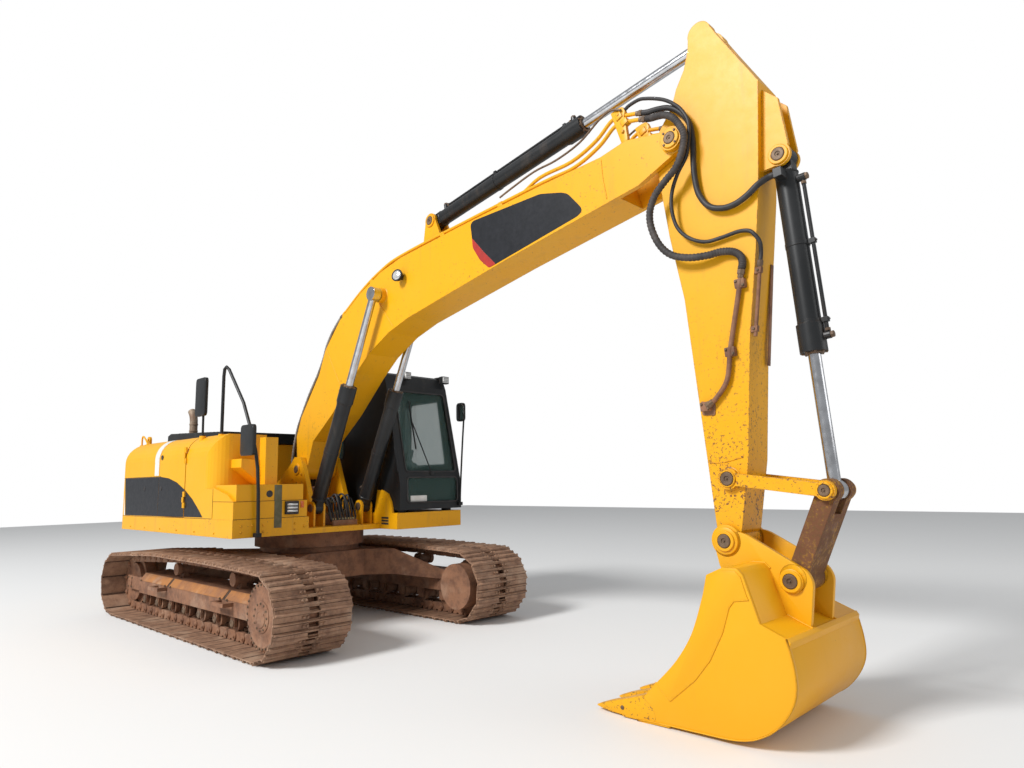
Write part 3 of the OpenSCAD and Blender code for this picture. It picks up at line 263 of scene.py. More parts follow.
yellow = {
    "colour": (0.80, 0.375, 0.003), "faded": (0.78, 0.385, 0.010), "roughness": 0.40, "streaks": 0.12, "dirt": 0.10,
    "lowDirt": 0.0, "lowFrom": 0.0, "lowTo": 1.0, "dirtColour": (0.27, 0.155, 0.06), "dotAt": 0.70, "dots": 0.7,
    "edges": 0.22, "bareColour": (0.15, 0.062, 0.028),
}
dark = {**yellow, "streaks": 0.25, "dirt": 0.16, "dots": 0.3, "edges": 0.2}
recipes = {
    "bodyYellow": (paintMaterial, yellow),
    "deckYellow": (paintMaterial, {**yellow, "streaks": 0.35, "dirt": 0.2, "dotAt": 0.66, "edges": 0.5}),
    "armYellow": (paintMaterial, {**yellow, "streaks": 0.16, "dotAt": 0.665, "edges": 0.4}),
    "stickYellow": (paintMaterial, {**yellow, "streaks": 0.3, "dirt": 0.15, "lowDirt": 0.14, "lowFrom": 1.2,
        "lowTo": 3.2, "dotAt": 0.60, "lowDots": 0.95, "dots": 0.95, "edges": 0.7}),
    "bucketYellow": (paintMaterial, {**yellow, "streaks": 0.06, "dirt": 0.03, "lowDirt": 0.22, "lowFrom": 0.0,
        "lowTo": 0.30, "dotAt": 0.74, "dots": 0.5, "edges": 0.12, "dirtColour": (0.36, 0.17, 0.05)}),
    "blackPaint": (paintMaterial, {**dark, "colour": (0.011, 0.012, 0.013), "faded": (0.020, 0.021, 0.022),
        "dirtColour": (0.085, 0.07, 0.055), "bareColour": (0.08, 0.06, 0.05), "roughness": 0.42}),
    "barrelPaint": (paintMaterial, {**dark, "colour": (0.013, 0.014, 0.015), "faded": (0.026, 0.027, 0.028),
        "dirtColour": (0.13, 0.095, 0.07), "bareColour": (0.12, 0.07, 0.045), "roughness": 0.36}),
    "decal": (plainMaterial, {"colour": (0.010, 0.011, 0.014), "second": (0.014, 0.015, 0.019), "roughness": 0.40,
        "gloss": 0.3, "bump": 0.02}),
    "white": (plainMaterial, {"colour": (0.74, 0.73, 0.70), "second": (0.62, 0.60, 0.56), "roughness": 0.42,
        "bump": 0.03}),
    "red": (plainMaterial, {"colour": (0.42, 0.022, 0.014), "second": (0.32, 0.022, 0.016), "roughness": 0.4,
        "bump": 0.03}),
    "olive": (plainMaterial, {"colour": (0.10, 0.095, 0.045), "second": (0.16, 0.14, 0.08), "roughness": 0.6}),
    "rustSteel": (rustMaterial, {"colour": (0.27, 0.128, 0.068), "second": (0.150, 0.070, 0.040), "roughness": 0.78,
        "mud": 0.55, "mudColour": (0.42, 0.265, 0.175), "spots": 0.35, "spotColour": (0.05, 0.03, 0.022)}),
    "trackSteel": (rustMaterial, {"colour": (0.34, 0.195, 0.120), "second": (0.20, 0.108, 0.066), "roughness": 0.7,
        "mud": 0.6, "mudColour": (0.47, 0.325, 0.225), "spots": 0.3, "spotColour": (0.06, 0.04, 0.03), "scale": 10}),
    "orangeRust": (rustMaterial, {"colour": (0.42, 0.175, 0.050), "second": (0.26, 0.115, 0.055), "roughness": 0.8,
        "mud": 0.75, "mudColour": (0.47, 0.30, 0.19), "spots": 0.35, "spotColour": (0.08, 0.04, 0.025), "scale": 3}),
    "chrome": (plainMaterial, {"colour": (0.60, 0.61, 0.63), "second": (0.46, 0.46, 0.47), "roughness": 0.2,
        "metal": 1.0, "bump": 0.03}),
    "pinSteel": (rustMaterial, {"colour": (0.20, 0.13, 0.08), "second": (0.11, 0.07, 0.045), "roughness": 0.6,
        "mud": 0.3, "metal": 0.4, "mudColour": (0.32, 0.24, 0.17), "spots": 0.3, "spotColour": (0.05, 0.035, 0.03)}),
    "rubber": (plainMaterial, {"colour": (0.016, 0.015, 0.016), "second": (0.036, 0.032, 0.031), "roughness": 0.55}),
    "sleeve": (plainMaterial, {"colour": (0.030, 0.026, 0.026), "second": (0.07, 0.058, 0.052), "roughness": 0.7,
        "bump": 0.3}),
    "pipeSteel": (rustMaterial, {"colour": (0.33, 0.27, 0.22), "second": (0.20, 0.13, 0.09), "roughness": 0.5,
        "mud": 0.4, "metal": 0.5, "mudColour": (0.40, 0.33, 0.27), "spots": 0.3, "spotColour": (0.08, 0.05, 0.035)}),
    "zinc": (plainMaterial, {"colour": (0.42, 0.37, 0.22), "second": (0.28, 0.22, 0.14), "roughness": 0.38,
        "metal": 0.8, "bump": 0.05}),
    "seatCloth": (plainMaterial, {"colour": (0.03, 0.032, 0.036), "second": (0.055, 0.056, 0.06), "roughness": 0.85,
        "grain": 400, "bump": 0.4}),
    "mirrorGlass": (plainMaterial, {"colour": (0.72, 0.74, 0.76), "second": (0.66, 0.68, 0.70), "roughness": 0.06,
        "metal": 1.0, "bump": 0.0}),
    "toothPaint": (paintMaterial, {**yellow, "streaks": 0.2, "dirt": 0.12, "dotAt": 0.60, "dots": 0.9, "edges": 0.6}),
    "linkPaint": (paintMaterial, {**yellow, "colour": (0.50, 0.240, 0.012), "faded": (0.20, 0.092, 0.024),
        "streaks": 0.8, "dirt": 0.54, "dirtColour": (0.105, 0.052, 0.028), "dotAt": 0.50, "dots": 0.95, "edges": 0.9,
        "roughness": 0.6}),
    "greySleeve": (plainMaterial, {"colour": (0.26, 0.24, 0.21), "second": (0.15, 0.13, 0.11), "roughness": 0.7,
        "bump": 0.2}),
    # Dark dried mud colour; on the track shoes it is also painted shade at the rib feet and in the joints between
    # shoes
    "darkMud": (plainMaterial, {"colour": (0.050, 0.028, 0.018), "second": (0.10, 0.058, 0.036), "roughness": 0.9,
        "scale": 30, "bump": 0.4}),
    "gap": (plainMaterial, {"colour": (0.020, 0.014, 0.008), "second": (0.035, 0.022, 0.010), "roughness": 0.8,
        "bump": 0.02}),
    "amber": (plainMaterial, {"colour": (0.75, 0.16, 0.02), "second": (0.60, 0.11, 0.02), "roughness": 0.25,
        "bump": 0.3, "grain": 80}),
    "exhaustSteel": (rustMaterial, {"colour": (0.30, 0.22, 0.15), "second": (0.17, 0.10, 0.06), "roughness": 0.6,
        "mud": 0.3, "metal": 0.3, "mudColour": (0.42, 0.36, 0.29), "spots": 0.3, "spotColour": (0.06, 0.04, 0.03)}),
    "lampLens": (plainMaterial, {"colour": (0.70, 0.70, 0.68), "second": (0.58, 0.58, 0.57), "roughness": 0.12,
        "metal": 0.5, "bump": 0.2, "grain": 60}),
    "glass": (glassMaterial, {"colour": (0.10, 0.165, 0.15), "dust": (0.24, 0.29, 0.27), "roughness": 0.04,
        "clear": 0.5, "alpha": 0.62}),
}
materials = {name: make(name, settings) for name, (make, settings) in recipes.items()}
nodesByMaterial = {
    "rustSteel": ("track_frame", "sprockets", "idlers", "rollers", "valve_block", "stick_pipes"),
    "trackSteel": ("track_right", "track_left"),
    "linkPaint": ("power_link",),
    "deckYellow": ("main_frame",),
    "bodyYellow": ("counterweight", "engine_housing", "right_door", "left_door", "fuel_tank", "tool_box"),
    "blackPaint": ("engine_block", "hood", "handrail", "mirrors", "cab_shell", "cab_door", "work_lamps"),
    "glass": ("cab_glass",),
    "seatCloth": ("operator_seat",),
    "pipeSteel": ("exhaust_pipe",),
    "pinSteel": ("frame_pins", "boom_pins", "stick_pins", "bucket_pins", "boom_lamp"),
    "armYellow": ("boom", "boom_pipes"),
    "stickYellow": ("idler_links", "stick"),
    "bucketYellow": ("bucket", "bucket_teeth"),
    "barrelPaint": ("boom_cylinder_barrels", "stick_cylinder_barrel", "bucket_cylinder_barrel"),
    "chrome": ("boom_cylinder_rods", "stick_cylinder_rod", "bucket_cylinder_rod"),
    "rubber": ("stick_hoses", "boom_hoses"),
}
for materialName, nodeNames in nodesByMaterial.items():
    for nodeName in nodeNames:
        slots = nodes[nodeName].data.materials
        slots.clear()
        slots.append(materials[materialName])
report("materials")


# Studio: a pale floor, a white surround, a large soft key on the left and a weak fill
studio = {
    "floorSize": 60, "floorColour": (0.80, 0.80, 0.79, 1), "skyColour": (0.95, 0.97, 1.0, 1), "sky": 0.44,
    "aim": (1.5, 0, 1.8), "lights": (("key", 8200, (-1.0, -22.0, 19.0), 7.0), ("fill", 200, (14, 4, 6), 6.0)),
}


# White where the camera looks straight at it, and the shaded look for every other ray
def whiteForCamera(tree, shaded, output):
    ray = tree.nodes.new("ShaderNodeLightPath")
    white = addNode(tree, "ShaderNodeBackground", {"Color": (1, 1, 1, 1), "Strength": 1.0})
    mixer = tree.nodes.new("ShaderNodeMixShader")
    for socket, source in zip(mixer.inputs, (ray.outputs["Is Camera Ray"], shaded, white.outputs[0])):
        tree.links.new(source, socket)
    tree.links.new(mixer.outputs[0], output)


def makeStudio(s):
    world = bpy.data.worlds.new("surround")
    bpy.context.scene.world = world
    world.use_nodes = True
    tree = world.node_tree
    sky = tree.nodes["Background"]
    setSockets(sky, {"Color": s["skyColour"], "Strength": s["sky"]})
    whiteForCamera(tree, sky.outputs[0], tree.nodes["World Output"].inputs["Surface"])
    half = s["floorSize"] / 2
    mesh = bpy.data.meshes.new("floor")
    mesh.from_pydata([(-half, -half, 0), (half, -half, 0), (half, half, 0), (-half, half, 0)], [], [(0, 1, 2, 3)])
    mesh.materials.append(newMaterial("paleFloor", {"Base Color": s["floorColour"], "Roughness": 0.9})[0])
    floor = bpy.data.objects.new("floor", mesh)
    bpy.context.scene.collection.objects.link(floor)
    for name, power, place, size in s["lights"]:
        light = bpy.data.lights.new(name, "AREA")
        light.energy = power
        light.size = size
        lamp = bpy.data.objects.new(name, light)
        bpy.context.scene.collection.objects.link(lamp)
        aim = Vector(s["aim"]) - Vector(place)
        lamp.matrix_world = Matrix.Translation(place) @ aim.to_track_quat("-Z", "Y").to_matrix().to_4x4()


makeStudio(studio)
report("studio")


# Places on a circle, as pairs
def circle(count, radius, first=0.0):
    turns = [2 * math.pi * (k + first) / count for k in range(count)]
    return [(math.cos(a) * radius, math.sin(a) * radius) for a in turns]


# A ring of points about a centre, in the plane of two directions
def ringOf(centre, side, across, radius, sides):
    turns = [2 * math.pi * k / sides for k in range(sides)]
    return [centre + (side * math.cos(a) + across * math.sin(a)) * radius for a in turns]


# Each place of a route with two directions across it, turned as little as possible on the way
def framesAlong(route):
    last, frames = None, []
    for i, place in enumerate(route):
        ahead = (route[min(i + 1, len(route) - 1)] - route[max(i - 1, 0)]).normalized()
        last = (ahead.orthogonal() if last is None else last - ahead * last.dot(ahead)).normalized()
        frames.append((place, last, ahead.cross(last)))
    return frames


# Shapes: each keeps its own points and faces until it becomes a piece
class Shape:
    def __init__(self):
        self.points = []
        self.faces = []

    def add(self, points, faces):
        start = len(self.points)
        self.points += [Vector(p) for p in points]
        self.faces += [[start + i for i in face] for face in faces]

    # Rings of as many points each, joined one after another, with a face at both ends when closed
    def skin(self, rings, closed=True):
        n = len(rings[0])
        faces = [[i * n + k, i * n + (k + 1) % n, (i + 1) * n + (k + 1) % n, (i + 1) * n + k]
                 for i in range(len(rings) - 1) for k in range(n)]
        if closed:
            faces += [list(range(n))[::-1], [(len(rings) - 1) * n + k for k in range(n)]]
        self.add([p for ring in rings for p in ring], faces)

    # An outline in X and Z between two places in Y
    def prism(self, outline, y0, y1):
        n = len(outline)
        area = sum(a[0] * b[1] - b[0] * a[1] for a, b in zip(outline, outline[1:] + outline[:1]))
        ring = outline if area > 0 else outline[::-1]
        low, high = min(y0, y1), max(y0, y1)
        points = [(x, low, z) for x, z in ring] + [(x, high, z) for x, z in ring]
        sides = [[i, (i + 1) % n, n + (i + 1) % n, n + i] for i in range(n)]
        self.add(points, sides + [list(range(n))[::-1], [n + i for i in range(n)]])

    def box(self, low, high):
        self.prism([(low[0], low[2]), (high[0], low[2]), (high[0], high[2]), (low[0], high[2])], low[1], high[1])

    # A profile of (radius, place along) turned about the line from start along the axis
    def lathe(self, start, axis, profile, sides=24, closed=True):
        axis = Vector(axis).normalized()
        side = axis.orthogonal().normalized()
        across = axis.cross(side)
        self.skin([ringOf(Vector(start) + axis * along, side, across, radius, sides)
                   for radius, along in profile], closed)

    def rod(self, start, end, radius, sides=16):
        line = Vector(end) - Vector(start)
        self.lathe(start, line, [(radius, 0), (radius, line.length)], sides)

    # A hexagon bolt head on its washer
    def bolt(self, place, axis, size=0.012):
        self.lathe(place, axis, [(size * 1.25, 0), (size * 1.25, size * 0.25)], 16)
        head = Vector(place) + Vector(axis).normalized() * size * 0.25
        self.lathe(head, axis, [(size, 0), (size, size * 0.7), (size * 0.8, size * 0.85)], 6)

    # A tube along smooth points; ridge gives the radius along the way
    def tube(self, route, radius, sides=12, ridge=None):
        self.skin([ringOf(*place, ridge(i, radius) if ridge else radius, sides)
                   for i, place in enumerate(framesAlong(route))])

    # A hollow pipe: the wall turns in at the far end and goes back down by a number of steps
    def duct(self, route, outer, inner, back, sides=28):
        frames = framesAlong(route)
        self.skin([ringOf(*place, outer, sides) for place in frames]
                  + [ringOf(*place, inner, sides) for place in frames[::-1][:back]])

    def turned(self, matrix):
        made = Shape()
        made.points = [matrix @ p for p in self.points]
        made.faces = [list(f) for f in self.faces]
        return made

    def take(self, other, matrix=None):
        self.add([matrix @ p for p in other.points] if matrix else other.points, other.faces)


def smoothRoute(points, steps=6):
    p = [Vector(q) for q in points]
    out = []
    for i in range(len(p) - 1):
        a, b, c, d = p[max(i - 1, 0)], p[i], p[i + 1], p[min(i + 2, len(p) - 1)]
        slope, bend, twist = c - a, 2 * a - 5 * b + 4 * c - d, 3 * b - a - 3 * c + d
        for k in range(steps):
            t = k / steps
            out.append(0.5 * (2 * b + slope * t + bend * t * t + twist * t ** 3))
    out.append(p[-1])
    return out


# An open outline with its corners cut off, round after round; its two ends stay
def softened(points, rounds=3):
    for _ in range(rounds):
        out = [points[0]]
        for a, b in zip(points, points[1:]):
            out += [tuple(p * (1 - part) + q * part for p, q in zip(a, b)) for part in (0.25, 0.75)]
        points = out + [points[-1]]
    return points


def makePiece(name, shape, material, body, bevel=0.0, sharp=35, replaces=(), segments=2):
    mesh = bpy.data.meshes.new(name)
    mesh.from_pydata(shape.points, [], shape.faces)
    mesh.materials.append(materials[material])
    thing = bpy.data.objects.new(name, mesh)
    bpy.context.scene.collection.objects.link(thing)
    if bevel:
        modifier = thing.modifiers.new("bevel", "BEVEL")
        modifier.width = bevel
        modifier.segments = segments
        modifier.limit_method = "ANGLE"
        modifier.angle_limit = math.radians(30)
        graph = bpy.context.evaluated_depsgraph_get()
        done = bpy.data.meshes.new_from_object(thing.evaluated_get(graph))
        thing.modifiers.clear()
        thing.data = done
        done.name = name
    thing.data.shade_smooth()
    thing.data.set_sharp_from_angle(angle=math.radians(sharp))
    if body:
        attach(thing, body)
    if replaces:
        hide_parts(*replaces)
    return thing


# Arms: their own frames run along and across the line through their pins
arm = {"foot": (0.120, 1.760), "boomAngle": 23.6, "boomLength": 5.746, "stickAngle": -85.5, "stickLength": 2.920,
       "bucketAngle": -28.0}


def armMatrix(origin, angle):
    x, z = origin
    along, rise = math.cos(math.radians(angle)), math.sin(math.radians(angle))
    return Matrix(((along, 0, -rise, x), (0, 1, 0, 0), (rise, 0, along, z), (0, 0, 0, 1)))


boomFrame = armMatrix(arm["foot"], arm["boomAngle"])
boomTip = boomFrame @ Vector((arm["boomLength"], 0, 0))
stickFrame = armMatrix((boomTip.x, boomTip.z), arm["stickAngle"])
stickEnd = stickFrame @ Vector((arm["stickLength"], 0, 0))
bucketFrame = armMatrix((stickEnd.x, stickEnd.z), arm["bucketAngle"])

# Free hoses first: three round the boom tip and six behind the boom foot
plainHose = {"ribs": False, "material": "rubber", "steps": 6, "sides": 14}
ribbedHose = {"ribs": True, "steps": 14, "sides": 16}
tipHose = {**plainHose, "bodies": ("boom_arm", "stick_arm"), "from": (5.30, -0.2, 4.30), "to": (5.75, -0.2, 3.62),
           "replaced": "stick_hoses"}
footHose = {**plainHose, "bodies": ("upper", "boom_arm"), "radius": 0.018, "replaced": "boom_hoses"}
footRows = (-0.170, -0.130, -0.090, 0.090, 0.130, 0.170)
footRoute = [(-0.200, 1.560), (-0.200, 1.660), (-0.180, 1.800), (-0.150, 1.960), (-0.110, 2.120), (-0.040, 2.290),
             (0.060, 2.450), (0.220, 2.680), (0.390, 2.880), (0.510, 3.060), (0.590, 3.220), (0.700, 3.355),
             (0.8422, 3.4800), (0.8851, 3.5051)]
hoses = {
    "bucketHose": {**tipHose, "radius": 0.022, "points": [
        (5.1121, -0.170, 4.3989), (5.1602, -0.170, 4.3866), (5.250, -0.174, 4.372), (5.345, -0.180, 4.342),
        (5.440, -0.186, 4.270), (5.515, -0.186, 4.150), (5.535, -0.186, 3.990), (5.530, -0.186, 3.850),
        (5.535, -0.186, 3.720), (5.560, -0.186, 3.590), (5.630, -0.186, 3.480), (5.730, -0.186, 3.435),
        (5.830, -0.186, 3.437), (5.920, -0.184, 3.475), (5.990, -0.172, 3.530), (6.0546, -0.132, 3.5767),
        (6.0942, -0.132, 3.5798)]},
    "stickHose": {**tipHose, **ribbedHose, "radius": 0.027, "material": "sleeve", "points": [
        (5.1387, -0.170, 4.3387), (5.1868, -0.170, 4.3264), (5.262, -0.196, 4.303), (5.345, -0.240, 4.262),
        (5.425, -0.268, 4.200), (5.482, -0.276, 4.120), (5.515, -0.276, 4.030), (5.500, -0.276, 3.930),
        (5.440, -0.276, 3.810), (5.340, -0.276, 3.730), (5.250, -0.272, 3.650), (5.200, -0.272, 3.540),
        (5.200, -0.265, 3.420), (5.250, -0.250, 3.280), (5.340, -0.240, 3.180), (5.470, -0.225, 3.130),
        (5.600, -0.205, 3.118), (5.700, -0.188, 3.125), (5.785, -0.178, 3.108), (5.835, -0.175, 3.068),
        (5.8485, -0.175, 3.0216), (5.8379, -0.175, 2.9730)]},
    "spareHose": {**tipHose, "radius": 0.014, "points": [
        (4.9520, -0.173, 4.4886), (4.9975, -0.173, 4.5085), (5.085, -0.174, 4.518), (5.150, -0.176, 4.500),
        (5.235, -0.182, 4.462), (5.320, -0.194, 4.412), (5.400, -0.210, 4.345), (5.475, -0.226, 4.260),
        (5.528, -0.230, 4.150), (5.530, -0.230, 4.040), (5.500, -0.230, 3.890), (5.420, -0.225, 3.780),
        (5.360, -0.215, 3.660), (5.350, -0.215, 3.530), (5.380, -0.205, 3.390), (5.460, -0.195, 3.290),
        (5.580, -0.180, 3.230), (5.710, -0.175, 3.230), (5.830, -0.175, 3.240), (5.905, -0.172, 3.228),
        (5.945, -0.168, 3.190), (5.970, -0.152, 3.135), (5.9613, -0.127, 3.0710), (5.9543, -0.127, 3.0216)]},
}
for number, y in enumerate(footRows):
    sleeved = {**ribbedHose, "material": "greySleeve"} if number == 0 else {}
    place = {"points": [(x, y, z) for x, z in footRoute], "from": (-0.2, y, 1.60), "to": (0.45, y, 3.0)}
    hoses["footHose%d" % (number + 1)] = {**footHose, **sleeved, **place}


def makeHose(name, s):
    route = smoothRoute(s["points"], s["steps"])
    shape = Shape()
    shape.tube(route, s["radius"], s["sides"], ridge=(lambda i, r: r if i % 3 else r * 0.86) if s["ribs"] else None)
    hose = makePiece(name, shape, s["material"], None, replaces=[s["replaced"]], sharp=50)
    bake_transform(hose)


for hoseName, hoseSettings in hoses.items():
    makeHose(hoseName, hoseSettings)
report("hoses")


# Tracks: one detailed shoe with its links goes round the same pin line as in the part
track = {
    "gauge": 2.380, "centres": 3.840, "shift": 0.150, "shoes": 51, "width": 0.790, "sprocket": 0.318, "idler": 0.296,
    "lug": 0.026, "plate": 0.012, "link": 0.048, "gap": 0.004, "carrierX": 0.760, "carrierRise": 0.024,
    "linkY": 0.085, "linkW": 0.040, "wobble": 0.004, "arcSteps": 20, "middle": 0.052, "shoulder": 0.012,
    "bridges": ((-0.02, 0.21), (0.44, 0.60), (0.84, 1.0)), "boltY": (-0.105, -0.065, 0.065, 0.105),
    "boltU": (0.30, 0.72),
    # mud: strips of painted shade, partly dried mud, at the rib feet and the inner joint (from, to and lift along the
    # shoe)
    "mud": ((0.150, 0.180, 0.0008), (0.430, 0.462, 0.0008), (0.580, 0.606, 0.0008), (0.850, 0.876, 0.0010),
            (-0.010, 0.018, 0.0026)),
    "linkOutline": [(0.02, 0.62), (0.10, 0.98), (0.30, 1.0), (0.70, 1.0), (0.90, 0.98), (0.98, 0.62), (0.98, -0.7),
                    (0.90, -1.05), (0.62, -1.05), (0.55, -0.72), (0.45, -0.72), (0.38, -1.05), (0.10, -1.05),
                    (0.02, -0.7)],
    "boss": [(0.030, -0.03), (0.030, 0.020), (0.024, 0.024)], "pinEnd": [(0.016, 0), (0.016, 0.012), (0.012, 0.015)],
    "pinHalf": 0.07, "bush": 0.027,
}
shoeFace = track["link"] + track["gap"]
shoeTop = shoeFace + track["plate"]
pinLine = shoeTop + track["lug"]
sprocketX = track["centres"] / 2 - track["shift"]
idlerX = -track["centres"] / 2 - track["shift"]
sprocketZ = pinLine + track["sprocket"]
idlerZ = pinLine + track["idler"]


def arcPoints(x, z, r, first, last, n):
    turns = [math.radians(first + (last - first) * i / n) for i in range(n + 1)]
    return [Vector((x + r * math.cos(a), z + r * math.sin(a))) for a in turns]


def chainPoints(s):
    carryLine = sprocketZ + s["sprocket"] + s["carrierRise"]
    route = arcPoints(sprocketX, sprocketZ, s["sprocket"], -90, 84, s["arcSteps"])
    route += [Vector((s["carrierX"], carryLine)), Vector((-s["carrierX"], carryLine))]
    route += arcPoints(idlerX, idlerZ, s["idler"], 86, 270, s["arcSteps"])
    route.append(Vector((sprocketX, pinLine)))
    lengths = [(b - a).length for a, b in zip(route, route[1:])]
    total = sum(lengths)
    pins = []
    for k in range(s["shoes"]):
        left = total * k / s["shoes"]
        i = 0
        while left > lengths[i]:
            left -= lengths[i]
            i += 1
        pins.append(route[i].lerp(route[i + 1], left / lengths[i]))
    return pins


# A triple-grouser shoe whose rear lip lies over the next one, with two mud holes between the links
def makeShoe(s, pitch):
    face, top, tip = shoeFace, shoeTop, shoeTop + s["lug"]
    profile = [(-0.27, face + 0.001), (-0.02, face), (0.86, face), (0.90, face + 0.004), (1.00, face + 0.008),
               (1.03, top + 0.010), (0.975, tip), (0.935, tip), (0.875, top + 0.001), (0.58, top),
               (0.55, tip - 0.005), (0.515, tip - 0.005), (0.46, top), (0.15, top), (0.115, tip), (0.075, tip),
               (0.02, top + 0.002), (-0.06, top - 0.002), (-0.27, face + 0.008)]
    shoe = Shape()
    half, middle, shoulder = s["width"] / 2, s["middle"], s["shoulder"]
    outline = [(u * pitch, -v) for u, v in profile]
    for side in (-1, 1):
        shoe.prism(outline, side * middle, side * (half - shoulder))
    for u0, u1 in s["bridges"]:
        low, high = u0 * pitch, u1 * pitch
        shoe.prism([(low, -face - 0.001), (high, -face - 0.001), (high, -top), (low, -top)], -0.054, 0.054)
        cut = sorted((p for p in outline if u0 <= p[0] / pitch <= u1), key=lambda p: p[0])
        if len(cut) > 3:
            ribs = [p for p in outline if p in cut and -p[1] > top]
            shoe.prism(cut[:1] + ribs + cut[-1:], -0.053, 0.053)
    # rounded shoulders at both ends of the shoe
    rounding = [(u * pitch * 0.92 + pitch * 0.04, -face - (v - face) * 0.66) for u, v in profile]
    for side in (-1, 1):
        shoe.prism(rounding, side * (half - shoulder - 0.001), side * half)
    for y in s["boltY"]:
        for u in s["boltU"]:
            shoe.bolt((u * pitch, y, -top), (0, 0, -1), 0.013)
    return shoe


# Painted shade, partly dried mud: dark strips at the foot of each rib where the ribs cast their shadows, and in the
# joint on the inner side where the gap between shoes is shaded
def makeShadeAndMudStrips(s, pitch):
    mud = Shape()
    half = s["width"] / 2 - 0.014
    for y0, y1 in ((-half, -0.054), (0.054, half)):
        for u0, u1, lift in s["mud"]:
            mud.box((u0 * pitch, y0, -shoeTop - lift), (u1 * pitch, y1, -shoeTop + 0.002))
        mud.box((0.955 * pitch, y0, -shoeFace - 0.004), (1.015 * pitch, y1, -shoeFace + 0.0012))
    return mud


def makeLink(s, pitch):
    link = Shape()
    outline = [(u * pitch, v * s["link"]) for u, v in s["linkOutline"]]
    for side in (-1, 1):
        y = side * s["linkY"]
        link.prism(outline, y - s["linkW"] / 2, y + s["linkW"] / 2)
        link.lathe((0, y + side * 0.012, 0), (0, side, 0), s["boss"], 18)
        link.lathe((0, y + side * 0.030, 0), (0, side, 0), s["pinEnd"], 14)
    link.rod((0, -s["pinHalf"], 0), (0, s["pinHalf"], 0), s["bush"], 18)
    return link


def makeTracks(s):
    pins = chainPoints(s)
    pitch = sum((b - a).length for a, b in zip(pins, pins[1:] + pins[:1])) / len(pins)
    shoe, link, shadeAndMudStrips = makeShoe(s, pitch), makeLink(s, pitch), makeShadeAndMudStrips(s, pitch)
    for name, y in (("Right", -s["gauge"] / 2), ("Left", s["gauge"] / 2)):
        shoes, links, mud = Shape(), Shape(), Shape()
        for pin, nextPin in zip(pins, pins[1:] + pins[:1]):
            ahead = (nextPin - pin).normalized()
            turn = Matrix(((ahead.x, 0, -ahead.y, pin.x), (0, 1, 0, y), (ahead.y, 0, ahead.x, pin.y), (0, 0, 0, 1)))
            lean = Matrix.Rotation(random.uniform(-s["wobble"], s["wobble"]), 4, "X")
            shoes.take(shoe, turn @ lean)
            links.take(link, turn)
            mud.take(shadeAndMudStrips, turn @ lean)
        makePiece("trackShoes" + name, shoes, "trackSteel", "undercarriage", 0.0025, segments=1,
                  replaces=["track_" + name.lower()])
        # The painted shade strips at the rib feet and joints, coloured like dark dried mud
        makePiece("trackShadeAndMud" + name, mud, "darkMud", "undercarriage")
        makePiece("trackLinks" + name, links, "rustSteel", "undercarriage", 0.002, segments=1)


makeTracks(track)
report("tracks")


def rounded(outline, radius, steps=5):
    out = []
    n = len(outline)
    for i in range(n):
        a, b, c = (Vector(outline[(i + k) % n]) for k in (-1, 0, 1))
        start = b + (a - b).normalized() * min(radius, (a - b).length * 0.45)
        end = b + (c - b).normalized() * min(radius, (c - b).length * 0.45)
        for k in range(steps + 1):
            t = k / steps
            out.append(tuple(start * (1 - t) ** 2 + b * 2 * t * (1 - t) + end * t * t))
    return out


# The part of an outline between two places in X
def clipped(outline, low, high):
    for sign, edge in ((1, low), (-1, high)):
        out = []
        for a, b in zip(outline, outline[1:] + outline[:1]):
            inside, next_ = sign * (a[0] - edge) >= 0, sign * (b[0] - edge) >= 0
            if inside:
                out.append(a)
            if inside != next_:
                t = (edge - a[0]) / (b[0] - a[0])
                out.append((edge, a[1] + (b[1] - a[1]) * t))
        outline = out
    return outline


def bothSides(outline, y0, y1):
    made = Shape()
    for side in (-1, 1):
        made.prism(outline, side * y0, side * y1)
    return made


# A weld bead: a thin tube with ripples
def bead(route, radius=0.006):
    made = Shape()
    p = smoothRoute(route, 1)
    fine = [a.lerp(b, k / 12) for a, b in zip(p, p[1:]) for k in range(12)] + [p[-1]]
    made.tube(fine, radius, 8, ridge=lambda i, r: r * (1.0 if i % 2 else 0.8))
    return made


